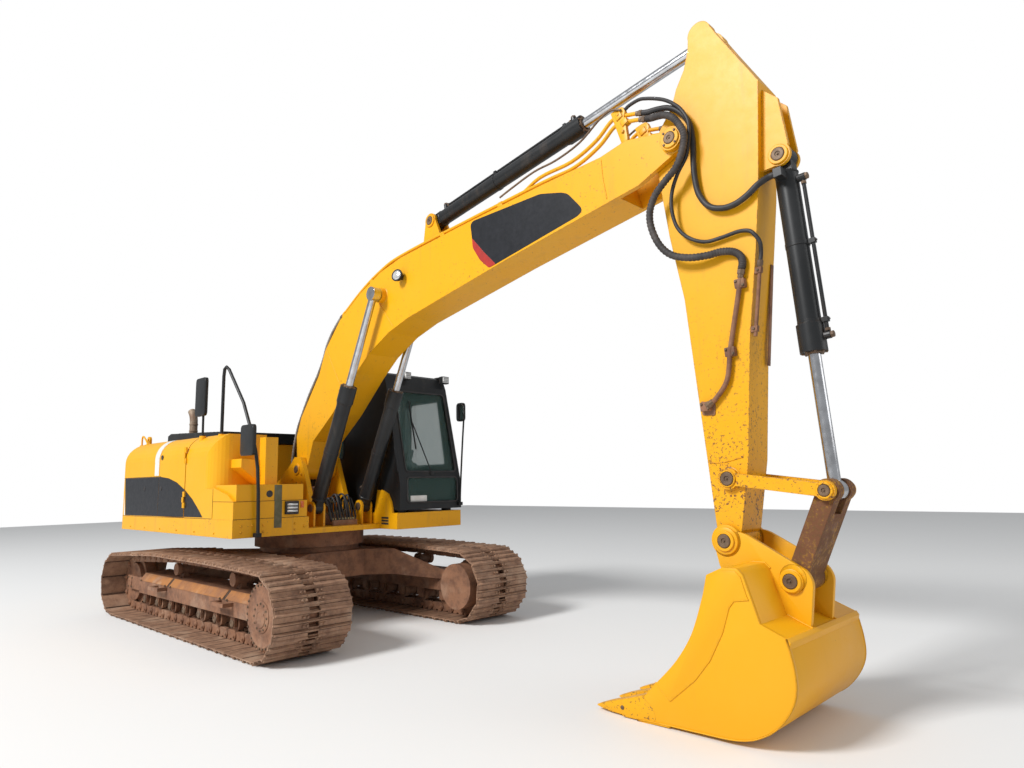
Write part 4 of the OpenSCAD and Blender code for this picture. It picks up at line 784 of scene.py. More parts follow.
# Boom: blank side panel with a red edge, pipes, clamps, weld seams and weld rings
boom = {
    "half": 0.200, "panelThick": 0.0014, "redThick": 0.0022,
    "panel": [(3.687, 0.850), (3.732, 0.863), (4.522, 0.525), (4.724, 0.368), (4.770, 0.312), (4.830, 0.118),
              (4.824, 0.080), (4.772, 0.069), (3.810, 0.287), (3.719, 0.309), (3.652, 0.453), (3.621, 0.620),
              (3.651, 0.718)],
    "red": [(3.651, 0.718), (3.621, 0.620), (3.652, 0.453), (3.719, 0.309), (3.810, 0.287), (3.728, 0.490)],
    "top": [(1.400, 1.255), (1.870, 1.310), (2.280, 1.305), (2.650, 1.235), (3.560, 0.935), (4.560, 0.590),
            (5.170, 0.362)],
    "rise": [(5.185, 0.476), (5.392, 0.513), (5.526, 0.436), (5.631, 0.354)],
    "lift": 0.038, "hoseStep": 0.066, "pipe": 0.016, "pipeY": (0.170, 0.130, 0.090), "shortTo": 2.65,
    "nut": [(0.023, 0), (0.025, 0.004), (0.025, 0.030), (0.020, 0.034)], "sleeve": [(0.020, 0), (0.020, 0.022)],
    "clamps": (1.480, 2.100, 3.300, 4.080), "clampY": (0.070, 0.194), "clampHalf": 0.028, "clampHigh": 0.026,
    "saddle": 0.0205, "saddleHalf": 0.022, "clampBoltY": (0.150, 0.110),
    "bracket": [(5.376, 0.321), (5.420, 0.3106), (5.436, 0.3075), (5.480, 0.455), (5.490, 0.505), (5.520, 0.541),
                (5.520, 0.591), (5.484, 0.611), (5.406, 0.626)],
    "bracketY": (0.155, 0.191), "bracketBolts": ((5.430, 0.400), (5.455, 0.560)),
    "blocks": ((5.475, 0.464), (5.455, 0.546)), "blockHalf": (0.030, 0.026), "blockY": (0.146, 0.200),
    "spare": [(5.500, 0.566), (5.420, 0.640), (5.300, 0.652), (5.060, 0.625), (4.800, 0.668), (4.560, 0.752),
              (4.300, 0.800), (4.120, 0.826)],
    "spareY": 0.204, "spareRadius": 0.009,
    "seams": [[(5.165, 0.336), (5.107, 0.171), (5.068, 0.002)], [(1.030, 1.085), (1.075, 0.800), (1.140, 0.470)],
              [(2.080, 1.285), (2.150, 0.950), (2.250, 0.620)]],
    "rings": [(2.225, 1.030, [(0.094, 0), (0.090, 0.006), (0.082, 0.008), (0.078, 0)]),
              (5.746, 0, [(0.104, 0), (0.100, 0.006), (0.092, 0.009), (0.088, 0)])],
}


def topAt(u):
    for a, b in zip(boom["top"], boom["top"][1:]):
        if a[0] <= u <= b[0]:
            return a[1] + (b[1] - a[1]) * (u - a[0]) / (b[0] - a[0])
    return boom["top"][-1][1]


def boomPipeRoutes(s, side):
    lift, step = s["lift"], s["hoseStep"]
    outer, middle, inner = s["pipeY"]

    def topRoute(y, before):
        return [(u, y, v + lift) for u, v in s["top"] if u < before]

    low = topRoute(outer, 5.106) + [(4.906, outer, topAt(4.906) + lift)] + [(u, outer, v) for u, v in s["rise"]]
    high = topRoute(middle, 4.0) + [(4.200, middle, topAt(4.2) + lift)]
    high += [(4.560, outer - 0.008, topAt(4.56) + lift + step), (4.906, outer, topAt(4.906) + lift + step)]
    high += [(u, outer, v + step) for u, v in s["rise"]]
    short = topRoute(inner, 2.6) + [(2.700, inner, topAt(2.7) + lift)]
    return [[Vector((u, side * y, v)) for u, y, v in route] for route in (low, high, short)]


def addPipeNuts(s, nuts, end, inner):
    axis = (inner - end).normalized()
    nuts.lathe(end + axis * 0.004, axis, s["nut"], 6)
    nuts.lathe(end + axis * 0.038, axis, s["sleeve"], 16)


# A clamp across the pipes on the boom's top, with a saddle over each pipe and bolts between them
def addClamp(s, clamps, side, u):
    a, b = topAt(u - 0.03), topAt(u + 0.03)
    along = Vector((0.06, 0, b - a)).normalized()
    up = Vector((-along.z, 0, along.x))
    back, front, high = u - s["clampHalf"], u + s["clampHalf"], s["clampHigh"]
    base = [(back, a + 0.0006), (front, b + 0.0006), (front, b + high), (back, a + high)]
    clamps.prism(base, *(side * y for y in s["clampY"]))
    middle = Vector((u, 0, topAt(u) + s["lift"]))
    for y in s["pipeY"] if u < s["shortTo"] else s["pipeY"][:2]:
        centre = middle + Vector((0, side * y, 0))
        clamps.rod(centre - along * s["saddleHalf"], centre + along * s["saddleHalf"], s["saddle"], 18)
    for y in s["clampBoltY"]:
        clamps.bolt(middle + Vector((0, side * y, 0)) - up * 0.012, up, 0.009)


def addTipBracket(s, clamps, side):
    clamps.prism(rounded(s["bracket"], 0.010), *(side * y for y in s["bracketY"]))
    for u, v in s["bracketBolts"]:
        clamps.bolt((u, side * s["bracketY"][1], v), (0, side, 0), 0.013)
    y0, y1 = sorted(side * y for y in s["blockY"])
    halfU, halfV = s["blockHalf"]
    for u, v in s["blocks"]:
        clamps.box((u - halfU, y0, v - halfV), (u + halfU, y1, v + halfV))


def dressBoom(s):
    for name, key, radius, material in (("boomPanel", "panel", 0.03, "decal"), ("boomPanelEdge", "red", 0.02, "red")):
        sheet = bothSides(rounded(s[key], radius), s["half"], s["half"] + s[key + "Thick"])
        makePiece(name, sheet.turned(boomFrame), material, "boom_arm")
    pipes, clamps, nuts, welds = Shape(), Shape(), Shape(), Shape()
    for side in (-1, 1):
        for route in boomPipeRoutes(s, side):
            pipes.tube(smoothRoute(route, 5), s["pipe"], 14)
            addPipeNuts(s, nuts, route[0], route[1])
            addPipeNuts(s, nuts, route[-1], route[-2])
        for u in s["clamps"]:
            addClamp(s, clamps, side, u)
        addTipBracket(s, clamps, side)
        nuts.tube(smoothRoute([(u, side * s["spareY"], v) for u, v in s["spare"]], 5), s["spareRadius"], 10)
        for seam in s["seams"]:
            welds.take(bead([(u, side * s["half"], v) for u, v in seam]))
        for u, v, profile in s["rings"]:
            welds.lathe((u, side * (s["half"] - 0.001), v), (0, side, 0), profile, 40)
    makePiece("boomPipes", pipes.turned(boomFrame), "armYellow", "boom_arm", replaces=["boom_pipes"])
    makePiece("boomClamps", clamps.turned(boomFrame), "stickYellow", "boom_arm", 0.003)
    makePiece("boomPipeNuts", nuts.turned(boomFrame), "pinSteel", "boom_arm")
    makePiece("boomWelds", welds.turned(boomFrame), "armYellow", "boom_arm", sharp=50)


# A round lamp on a short foot, turned a little forward, with a domed lens
boomLamp = {
    "place": (2.590, -0.2005, 1.020), "aim": (0.30, -0.95, 0.0), "shift": (-0.004, -0.020, 0), "lensAt": 0.058,
    "foot": [(0.030, 0), (0.030, 0.012), (0.018, 0.014), (0.018, 0.030)],
    "housing": [(0.024, 0), (0.046, 0.010), (0.058, 0.028), (0.062, 0.050), (0.066, 0.052), (0.066, 0.062),
                (0.060, 0.066), (0.054, 0.062)],
    "lens": [(0.054, 0), (0.050, 0.005), (0.036, 0.009), (0.018, 0.0115), (0.002, 0.012)],
}


def dressBoomLamp(s):
    aim = Vector(s["aim"]).normalized()
    start = Vector(s["place"]) + Vector(s["shift"])
    housing, lens = Shape(), Shape()
    housing.lathe(s["place"], (0, -1, 0), s["foot"], 24)
    housing.lathe(start, aim, s["housing"], 36)
    lens.lathe(start + aim * s["lensAt"], aim, s["lens"], 36)
    makePiece("boomLampHousing", housing.turned(boomFrame), "blackPaint", "boom_arm", replaces=["boom_lamp"])
    makePiece("boomLampLens", lens.turned(boomFrame), "lampLens", "boom_arm", sharp=60)


dressBoom(boom)
dressBoomLamp(boomLamp)
report("boom")


# Pins: a welded collar round each end and the pin's end with its hole, some with bolts round it
pinColumns = ("x", "z", "face", "r", "rim", "bolts", "body", "collar")
pinRows = [
    (0.120, 1.760, 0.268, 0.045, 0.024, 0, "upper", "deckYellow"),
    (2.419, 4.292, 0.088, 0.045, 0.024, 0, "boom_arm", "armYellow"),
    (5.385, 4.060, 0.250, 0.045, 0.030, 4, "boom_arm", "armYellow"),
    (6.111, 3.733, 0.088, 0.045, 0.024, 0, "stick_arm", "stickYellow"),
    (5.6505, 1.5585, 0.185, 0.0455, 0.012, 0, "idler_link", "stickYellow"),
    (6.2805, 1.4783, 0.185, 0.036, 0.016, 0, "idler_link", "stickYellow"),
    (5.615, 1.149, 0.206, 0.045, 0.024, 0, "bucket_body", "bucketYellow"),
    (6.041, 0.923, 0.206, 0.045, 0.024, 0, "bucket_body", "bucketYellow"),
]


def dressPin(number, pin):
    collar, steel = Shape(), Shape()
    r, wide = pin["r"], pin["r"] + pin["rim"]
    ring = [(wide, -0.002), (wide, 0.009), (wide - 0.004, 0.013)]
    ring += [(r + 0.003, 0.013), (r + 0.003, 0.004), (r + 0.001, 0.004)]
    face = [(r, 0), (r, 0.015), (r - 0.005, 0.019), (r * 0.42, 0.019), (r * 0.36, 0.013)]
    nipple = [(r * 0.16, 0), (r * 0.16, 0.006), (r * 0.10, 0.009)]
    for side in (-1, 1):
        out = (0, side, 0)
        place = Vector((pin["x"], side * pin["face"], pin["z"]))
        collar.lathe(place, out, ring, 40)
        steel.lathe(place, out, face, 36)
        steel.lathe(place + Vector((0, side * 0.013, 0)), out, nipple, 10)
        for x, z in circle(pin["bolts"], wide - 0.011, 0.5):
            steel.bolt(place + Vector((x, side * 0.012, z)), out, 0.008)
    makePiece("pinCollar%d" % number, collar, pin["collar"], pin["body"])
    makePiece("pinEnd%d" % number, steel, "pinSteel", pin["body"])


for number, row in enumerate(pinRows):
    dressPin(number + 1, dict(zip(pinColumns, row)))


# Cylinders: gland bolts, a wiper ring, weld rings, clamp bands for the pipe and hex nuts at its ports
def lineFrame(start, end, y=0.0):
    line = Vector(end) - Vector(start)
    made = armMatrix(start, math.degrees(math.atan2(line.y, line.x)))
    made[1][3] = y
    return made


boomLine = ((0.665, 1.310), (1.747, 3.594))
cylinderColumns = ("name", "frame", "r", "rod", "length", "body")
cylinderRows = [
    ("boomRight", lineFrame(*boomLine, -0.318), 0.080, 0.042, 1.470, "boom_barrels"),
    ("boomLeft", lineFrame(*boomLine, 0.318), 0.080, 0.042, 1.470, "boom_barrels"),
    ("stick", lineFrame((2.419, 4.292), (5.610, 4.841)), 0.076, 0.045, 2.020, "stick_barrel"),
    ("bucket", lineFrame((6.111, 3.733), (6.287, 1.473)), 0.075, 0.040, 1.375, "bucket_barrel"),
]


def dressCylinder(c):
    steel, band = Shape(), Shape()
    r, length, rod = c["r"], c["length"], c["rod"]
    ahead, up = (1, 0, 0), (0, 0, 1)
    for y, z in circle(8, r - 0.003, 0.5):
        steel.bolt((length, y, z), ahead, 0.0085)
    steel.lathe((length, 0, 0), ahead, [(rod + 0.020, 0), (rod + 0.020, 0.006), (rod + 0.012, 0.012),
                                        (rod + 0.004, 0.012), (rod + 0.004, 0.0)], 40, closed=False)
    for x, port in ((0.180, 0.032), (length - 0.095, -0.046)):
        steel.lathe((x, 0, r + 0.046), up, [(0.024, 0), (0.024, 0.016), (0.018, 0.020), (0.010, 0.020)], 6)
        steel.lathe((x + port, 0, r + 0.030), ahead, [(0.019, 0), (0.019, 0.018)], 6)
    clampBand = [(r - 0.001, 0), (r + 0.004, 0.001), (r + 0.004, 0.031), (r - 0.001, 0.032)]
    for x in (0.45 * length, length - 0.215):
        band.lathe((x, 0, 0), ahead, clampBand, 48, closed=False)
        band.box((x, -0.018, r), (x + 0.032, 0.018, r + 0.046))
        band.bolt((x + 0.016, 0, r + 0.046), up, 0.008)
    footWeld = [(r - 0.004, 0), (r + 0.006, 0.008), (r + 0.004, 0.016), (r - 0.001, 0.020)]
    glandWeld = [(r - 0.001, 0), (r + 0.006, 0.005), (r + 0.010, 0.009)]
    for x, weld in ((0.112, footWeld), (length - 0.198, glandWeld)):
        band.lathe((x, 0, 0), ahead, weld, 48, closed=False)
    makePiece(c["name"] + "CylinderBolts", steel.turned(c["frame"]), "pinSteel", c["body"])
    makePiece(c["name"] + "CylinderBands", band.turned(c["frame"]), "barrelPaint", c["body"], sharp=40)


for row in cylinderRows:
    dressCylinder(dict(zip(cylinderColumns, row)))
report("cylinders")


# Body: blank dark panels, seams, the pale stripe over the shoulder, and latches
body = {
    "half": 1.388, "round": 0.260, "top": 2.160,
    "panel": [(-2.345, 1.700), (-2.272, 1.223), (0.152, 1.244), (0.046, 1.322), (-0.140, 1.440), (-0.353, 1.540),
              (-0.600, 1.628), (-0.850, 1.680), (-1.086, 1.699)],
    "flash": [(-2.358, 1.500), (-2.322, 1.223), (-2.280, 1.223)],
    "seam": [(-2.371, 1.7075), (-1.086, 1.7065), (-1.086, 1.7015), (-2.371, 1.7025)],
    "lowSeam": [(-2.371, 1.2165), (0.386, 1.2355), (0.386, 1.2315), (-2.371, 1.2125)],
    "sheets": (("panel", "decal", 0.0014), ("flash", "white", 0.0020), ("seam", "gap", 0.0011),
               ("lowSeam", "gap", 0.0011)),
    "parts": {-1: [("upper", -2.371, -1.1505), ("right_side_door", -1.1445, -0.3705), ("upper", -0.3495, 0.389)],
              1: [("upper", -2.371, -1.1505), ("left_side_door", -1.1445, -0.7205)]},
    "stripeX": (-1.300, -1.165), "stripeZ": (1.715, 1.90), "stripeThick": 0.0012, "stripeLean": 0.045,
    "latch": [(0.030, 0), (0.030, 0.004), (0.026, 0.006), (0.020, 0.004), (0.019, 0.0045), (0.012, 0.007),
              (0.004, 0.007)],
    "latchPlaces": ((-1.620, 1.560),), "doorLatchPlaces": ((-1.075, 1.560), (-1.075, 1.930)),
}


def sideArc(side, first, last, n, out):
    y, z = side * (body["half"] - body["round"]), body["top"] - body["round"]
    r = body["round"] + out
    return [(y + side * p.x, z + p.y) for p in arcPoints(0, 0, r, first, last, n)]


def dressSheets(s, side, name):
    y = side * s["half"]
    for key, material, thick in s["sheets"]:
        for number, (rider, low, high) in enumerate(s["parts"][side]):
            outline = clipped(s[key], low, high)
            if len(outline) < 3:
                continue
            shape = Shape()
            shape.prism(outline, y, y + side * thick)
            makePiece("%s%s%d" % (key, name, number + 1), shape, material, rider)


# The stripe follows the side and the rounded shoulder
def dressStripe(s, side, name):
    rings = []
    for out in (s["stripeThick"], 0):
        rings.append([(side * (s["half"] + out), z) for z in s["stripeZ"]] + sideArc(side, 6, 84, 12, out))
    n = len(rings[0])
    points = []
    back, front = s["stripeX"]
    for i in range(n):
        lean = s["stripeLean"] * i / (n - 1)
        for ring in rings:
            points += [(back - lean, *ring[i]), (front - lean * 0.4, *ring[i])]
    faces = []
    for a in range(0, n * 4 - 4, 4):
        b = a + 4
        faces += [[a, a + 1, b + 1, b], [a + 2, b + 2, b + 3, a + 3]]
        faces += [[a, b, b + 2, a + 2], [a + 1, a + 3, b + 3, b + 1]]
    faces += [[0, 2, 3, 1], [n * 4 - 4, n * 4 - 3, n * 4 - 1, n * 4 - 2]]
    stripe = Shape()
    stripe.add(points, [f if side < 0 else f[::-1] for f in faces])
    makePiece("shoulderStripe" + name, stripe, "white", "upper", sharp=50)


def dressSides(s):
    for side, name in ((-1, "Right"), (1, "Left")):
        dressSheets(s, side, name)
        dressStripe(s, side, name)


def dressLatches(s):
    latches, doors = Shape(), {-1: Shape(), 1: Shape()}
    for side in (-1, 1):
        for shape, places in ((latches, s["latchPlaces"]), (doors[side], s["doorLatchPlaces"])):
            for x, z in places:
                shape.lathe((x, side * s["half"], z), (0, side, 0), s["latch"], 32)
    makePiece("sideLatches", latches, "rubber", "upper")
    makePiece("rightDoorLatches", doors[-1], "rubber", "right_side_door")
    makePiece("leftDoorLatches", doors[1], "rubber", "left_side_door")


# Boxes: the strap, seams of the tool box, the lamp with three bars, louvres, a plate, a reflector and bolts
boxes = {
    "strap": [(0.872, 1.577), (0.8765, 1.577), (0.8765, 1.420), (0.8850, 1.410), (0.8850, 1.130), (0.8800, 1.130),
              (0.8800, 1.412), (0.872, 1.416)],
    "strapY": (-0.942, -0.857),
    "seams": [((0.8795, -1.386, 1.4105), (0.8812, -0.562, 1.4145)),
              ((0.8795, -1.386, 1.2325), (0.8812, -0.562, 1.2365)),
              ((0.3905, -1.3885, 1.4105), (0.8790, -1.3865, 1.4145)),
              ((0.3885, -1.3890, 1.2385), (0.3925, -1.3870, 1.5470))],
    "lamp": ((0.905, -0.823, 1.265), (0.909, -0.673, 1.403)), "barX": (0.909, 0.9135), "barY": (-0.808, -0.688),
    "barZ": 1.290, "barStep": 0.034, "barHigh": 0.020,
    "cap": (0.872, -0.996, 1.486),
    "capProfile": [(0.036, 0), (0.036, 0.003), (0.030, 0.005), (0.024, 0.003), (0.012, 0.003)],
    "louvreX": (0.905, 1.045), "louvreY": (0.4062, 0.4085), "louvreZ": 1.095, "louvreStep": 0.033,
    "louvreHigh": 0.023,
    "frontX": 0.880, "front": ((-1.300, 1.165), (-1.300, 1.100), (-1.180, 1.165), (-1.060, 1.165), (-1.060, 1.100),
                               (-0.700, 1.100), (-0.700, 1.165), (-0.590, 1.130)),
    "sill": (-2.05, -1.55, -1.05, -0.55, -0.05, 0.45), "sillZ": 1.085,
    "footY": 0.268,
    "foot": ((0.255, 1.600), (0.120, 1.600), (0.020, 1.640), (0.230, 1.700), (-0.190, 1.600), (-0.330, 1.480)),
    "plate": ((1.2015, 0.609, 1.352), (1.2040, 0.855, 1.425)),
    "reflector": ((0.8812, -0.640, 1.330), (0.8850, -0.600, 1.400)),
}


def boxShape(*corners):
    made = Shape()
    for low, high in corners:
        made.box(low, high)
    return made


def dressBoxes(s):
    strap, bolts = Shape(), Shape()
    dark, bright, seams = boxShape(s["lamp"]), Shape(), boxShape(*s["seams"])
    strap.prism(s["strap"], *s["strapY"])
    dark.lathe(s["cap"], (1, 0, 0), s["capProfile"], 28)
    for k in range(3):
        for shape, key in ((bright, "bar"), (dark, "louvre")):
            (x0, x1), (y0, y1), z = s[key + "X"], s[key + "Y"], s[key + "Z"] + s[key + "Step"] * k
            shape.box((x0, y0, z), (x1, y1, z + s[key + "High"]))
    for y, z in s["front"]:
        bolts.bolt((s["frontX"], y, z), (1, 0, 0), 0.011)
    for side in (-1, 1):
        for x in s["sill"]:
            bolts.bolt((x, side * body["half"], s["sillZ"]), (0, side, 0), 0.008)
        for x, z in s["foot"]:
            bolts.bolt((x, side * s["footY"], z), (0, side, 0), 0.011)
    makePiece("boxStrap", strap, "olive", "upper", 0.001)
    makePiece("boxSeams", seams, "gap", "upper")
    makePiece("boxDarkParts", dark, "rubber", "upper", 0.0008)
    makePiece("boxLampBars", bright, "lampLens", "upper", 0.0015)
    makePiece("bodyBolts", bolts, "deckYellow", "upper")
    makePiece("cabPlate", boxShape(s["plate"]), "white", "upper", 0.0008)
    makePiece("boxReflector", boxShape(s["reflector"]), "amber", "upper", 0.001)


# Top: rails on the tail, hood slats and seams, and a hollow exhaust
top = {
    "rail": [(-2.345, 2.135), (-2.345, 2.225), (-2.310, 2.262), (-2.210, 2.215), (-2.120, 2.140)], "railY": 1.205,
    "feet": ((-2.345, 2.132), (-2.120, 2.136)), "foot": [(0.026, 0), (0.026, 0.012), (0.013, 0.016)],
    "slats": 15, "slatX": -2.16, "slatStep": 0.10, "slatDeep": 0.035, "slatHalf": 0.80,
    "hoodX": -2.300, "hoodZ": (2.310, 2.240), "hoodLong": 1.68, "seamY": (-0.845, 0.812), "seamWide": 0.033,
    "seamX": (-2.25, -0.66), "seamZ": (2.238, 2.244),
    "exhaust": [(-1.690, 2.2835), (-1.690, 2.40), (-1.692, 2.455), (-1.705, 2.505), (-1.732, 2.548), (-1.765, 2.583)],
    "exhaustY": -0.790, "exhaustOuter": 0.050, "exhaustInner": 0.043,
    "bands": ((2.300, [(0.051, 0), (0.055, 0.003), (0.055, 0.022), (0.051, 0.025)]),
              (2.392, [(0.051, 0), (0.055, 0.003), (0.055, 0.018), (0.051, 0.021)])),
}


def dressTop(s):
    rails, slats, exhaust = Shape(), Shape(), Shape()
    for side in (-1, 1):
        y = side * s["railY"]
        rails.tube(smoothRoute([(x, y, z) for x, z in s["rail"]], 6), 0.011, 12)
        for x, z in s["feet"]:
            rails.lathe((x, y, z), (0, 0, 1), s["foot"], 20)
    makePiece("tailRails", rails, "bodyYellow", "upper")
    for k in range(s["slats"]):
        x = s["slatX"] + s["slatStep"] * k
        z = s["hoodZ"][0] + (x - s["hoodX"]) * (s["hoodZ"][1] - s["hoodZ"][0]) / s["hoodLong"]
        slats.box((x, -s["slatHalf"], z - 0.004), (x + s["slatDeep"], s["slatHalf"], z + 0.006))
    for y in s["seamY"]:
        slats.box((s["seamX"][0], y, s["seamZ"][0]), (s["seamX"][1], y + s["seamWide"], s["seamZ"][1]))
    makePiece("hoodSlats", slats, "blackPaint", "hood_lid", 0.002)
    y = s["exhaustY"]
    route = smoothRoute([(x, y, z) for x, z in s["exhaust"]], 6)
    exhaust.duct(route, s["exhaustOuter"], s["exhaustInner"], 10)
    for z, profile in s["bands"]:
        exhaust.lathe((s["exhaust"][0][0], y, z), (0, 0, 1), profile, 32, closed=False)
    makePiece("exhaustElbow", exhaust, "exhaustSteel", "hood_lid", sharp=45, replaces=["exhaust_pipe"])


dressSides(body)
dressLatches(body)
dressBoxes(boxes)
dressTop(top)
report("body")


# Mirrors: rounded dark shells with glass, on their arms and clamps
mirrors = {
    "heads": [((-0.330, 2.370), (-0.060, 2.810), -1.330, -1.290, 1),
              ((0.770, 1.880), (1.060, 2.200), -1.290, -1.250, 1),
              ((1.080, 2.350), (1.230, 2.590), 1.440, 1.475, -1)],
    "rim": 0.010, "recess": 0.003, "rear": 0.006, "glass": 0.0025,
    "right": [(-0.190, -1.282, 2.145), (-0.190, -1.284, 2.30), (-0.192, -1.284, 2.45), (-0.195, -1.286, 2.60)],
    "foot": (-0.190, -1.282, 2.142), "footProfile": [(0.030, 0), (0.030, 0.015), (0.016, 0.022)],
    "left": [(1.245, 1.352, 1.310), (1.245, 1.364, 1.550), (1.245, 1.395, 2.00), (1.243, 1.422, 2.310),
             (1.225, 1.447, 2.430), (1.180, 1.452, 2.470)],
    "clamps": [((0.868, -1.256, 1.978), (0.892, -1.180, 2.002)), ((0.868, -1.256, 2.033), (0.892, -1.180, 2.057)),
               ((1.226, 1.325, 1.290), (1.265, 1.380, 1.330))],
}


def squareOf(x0, z0, x1, z1, radius):
    return rounded([(x0, z0), (x1, z0), (x1, z1), (x0, z1)], radius)


def dressMirrors(s):
    shells, faces, arms = Shape(), Shape(), boxShape(*s["clamps"])
    rim, recess = s["rim"], s["recess"]
    for (x0, z0), (x1, z1), y0, y1, face in s["heads"]:
        inner = squareOf(x0 + rim, z0 + rim, x1 - rim, z1 - rim, 0.045)
        back, front = (y0, y1 - recess) if face > 0 else (y1, y0 + recess)
        shells.prism(squareOf(x0, z0, x1, z1, 0.05), y0 + recess, y1 - recess)
        shells.prism(inner, back, back + face * s["rear"])
        faces.prism(inner, front, front + face * s["glass"])
    arms.tube(smoothRoute(s["right"], 6), 0.013, 12)
    arms.lathe(s["foot"], (0, 0, 1), s["footProfile"], 20)
    arms.tube(smoothRoute(s["left"], 6), 0.011, 12)
    makePiece("mirrorShells", shells, "blackPaint", "upper", 0.004, replaces=["mirrors"])
    makePiece("mirrorFaces", faces, "mirrorGlass", "upper", 0.001)
    makePiece("mirrorArms", arms, "blackPaint", "upper", sharp=40)


dressMirrors(mirrors)
report("mirrors")


under = {
    "cover": [(1.3785, 0.4415), (1.3848, 0.4467), (1.3172, 0.5292), (1.3110, 0.5240)],
    "coverRuns": ((-1.620, -0.760), (-0.700, 0.700), (0.760, 1.400)), "coverBolt": (1.3855, 0.445),
    "slot": [(1.3805, 0.4395), (1.3822, 0.4410), (1.3140, 0.5235), (1.3120, 0.5222)],
    "slotRuns": ((-0.760, -0.700), (0.700, 0.760)),
    "rollers": 8, "rollerX": -1.550, "rollerStep": 0.400, "rollerY": 1.3432, "rollerZ": 0.2168,
    "rollerCap": [(0.040, -0.010), (0.040, 0.004), (0.034, 0.008), (0.020, 0.008), (0.017, 0.004)],
    "drumY": 1.3702, "teeth": 30, "toothAt": 0.298, "toothFrom": 1.3802, "toothTo": 1.486, "drumBoltAt": 0.277,
    "drumBoltY": 1.4970,
    "drum": [(0.300, 0), (0.302, 0.010), (0.302, 0.110), (0.292, 0.122), (0.262, 0.128), (0.252, 0.122),
             (0.190, 0.122), (0.172, 0.128), (0.136, 0.130)],
    "hubY": 1.4982, "hubBolts": 12, "hubBoltAt": 0.117, "hubBoltY": 1.510,
    "hub": [(0.140, 0), (0.140, 0.008), (0.132, 0.012), (0.098, 0.014), (0.092, 0.022), (0.050, 0.026),
            (0.046, 0.022), (0.028, 0.022)],
    "plugs": ((0.070, 0.030), (-0.060, -0.045)), "plugFrom": 1.520, "plugTo": 1.528,
    "forkOut": 0.1552, "forkCap": [(0.058, 0), (0.058, 0.006), (0.050, 0.010), (0.020, 0.010), (0.018, 0.006)],
    "forkBolts": ((-0.062, 0.056), (0.062, 0.056), (-0.062, -0.056), (0.062, -0.056)),
}


def turnedAlongX(outline, x0, x1):
    made = Shape()
    made.prism(outline, -x1, -x0)
    return made.turned(Matrix.Rotation(math.radians(90), 4, "Z"))


def dressUndercarriage(s):
    plates, caps, covers, slots = Shape(), Shape(), Shape(), Shape()
    for side in (-1, 1):
        out = (0, side, 0)
        boltY, boltZ = s["coverBolt"]
        for x0, x1 in s["coverRuns"]:
            plates.take(turnedAlongX([(side * y, z) for y, z in s["cover"]], x0, x1))
            for x in (x0 + 0.05, x1 - 0.05):
                caps.bolt((x, side * boltY, boltZ), (0, side * 0.77, 0.64), 0.010)
        for x0, x1 in s["slotRuns"]:
            slots.take(turnedAlongX([(side * y, z) for y, z in s["slot"]], x0, x1))
        for k in range(s["rollers"]):
            x = s["rollerX"] + s["rollerStep"] * k
            caps.lathe((x, side * s["rollerY"], s["rollerZ"]), out, s["rollerCap"], 24)
        covers.lathe((sprocketX, side * s["hubY"], sprocketZ), out, s["hub"], 56)
        covers.lathe((sprocketX, side * s["drumY"], sprocketZ), out, s["drum"], 72)
        for x, z in circle(s["teeth"], 1.0):
            toothX, toothZ = sprocketX + s["toothAt"] * x, sprocketZ + s["toothAt"] * z
            covers.rod((toothX, side * s["toothFrom"], toothZ), (toothX, side * s["toothTo"], toothZ), 0.013, 8)
            boltX, boltZ = sprocketX + s["drumBoltAt"] * x, sprocketZ + s["drumBoltAt"] * z
            caps.bolt((boltX, side * s["drumBoltY"], boltZ), out, 0.009)
        for x, z in circle(s["hubBolts"], s["hubBoltAt"]):
            caps.bolt((sprocketX + x, side * s["hubBoltY"], sprocketZ + z), out, 0.009)
        for x, z in s["plugs"]:
            plugX, plugZ = sprocketX + x, sprocketZ + z
            covers.rod((plugX, side * s["plugFrom"], plugZ), (plugX, side * s["plugTo"], plugZ), 0.012, 8)
        for inner in (-1, 1):
            y = side * track["gauge"] / 2 + inner * side * s["forkOut"]
            axis = (0, inner * side, 0)
            covers.lathe((idlerX, y, idlerZ), axis, s["forkCap"], 32)
            for x, z in s["forkBolts"]:
                caps.bolt((idlerX + x, y, idlerZ + z), axis, 0.010)
    makePiece("frameCoverPlates", plates, "orangeRust", "undercarriage", 0.0025)
    makePiece("frameSlots", slots, "darkMud", "undercarriage")
    makePiece("undercarriageBolts", caps, "pinSteel", "undercarriage")
    makePiece("undercarriageCovers", covers, "rustSteel", "undercarriage", sharp=40)


dressUndercarriage(under)
report("undercarriage")


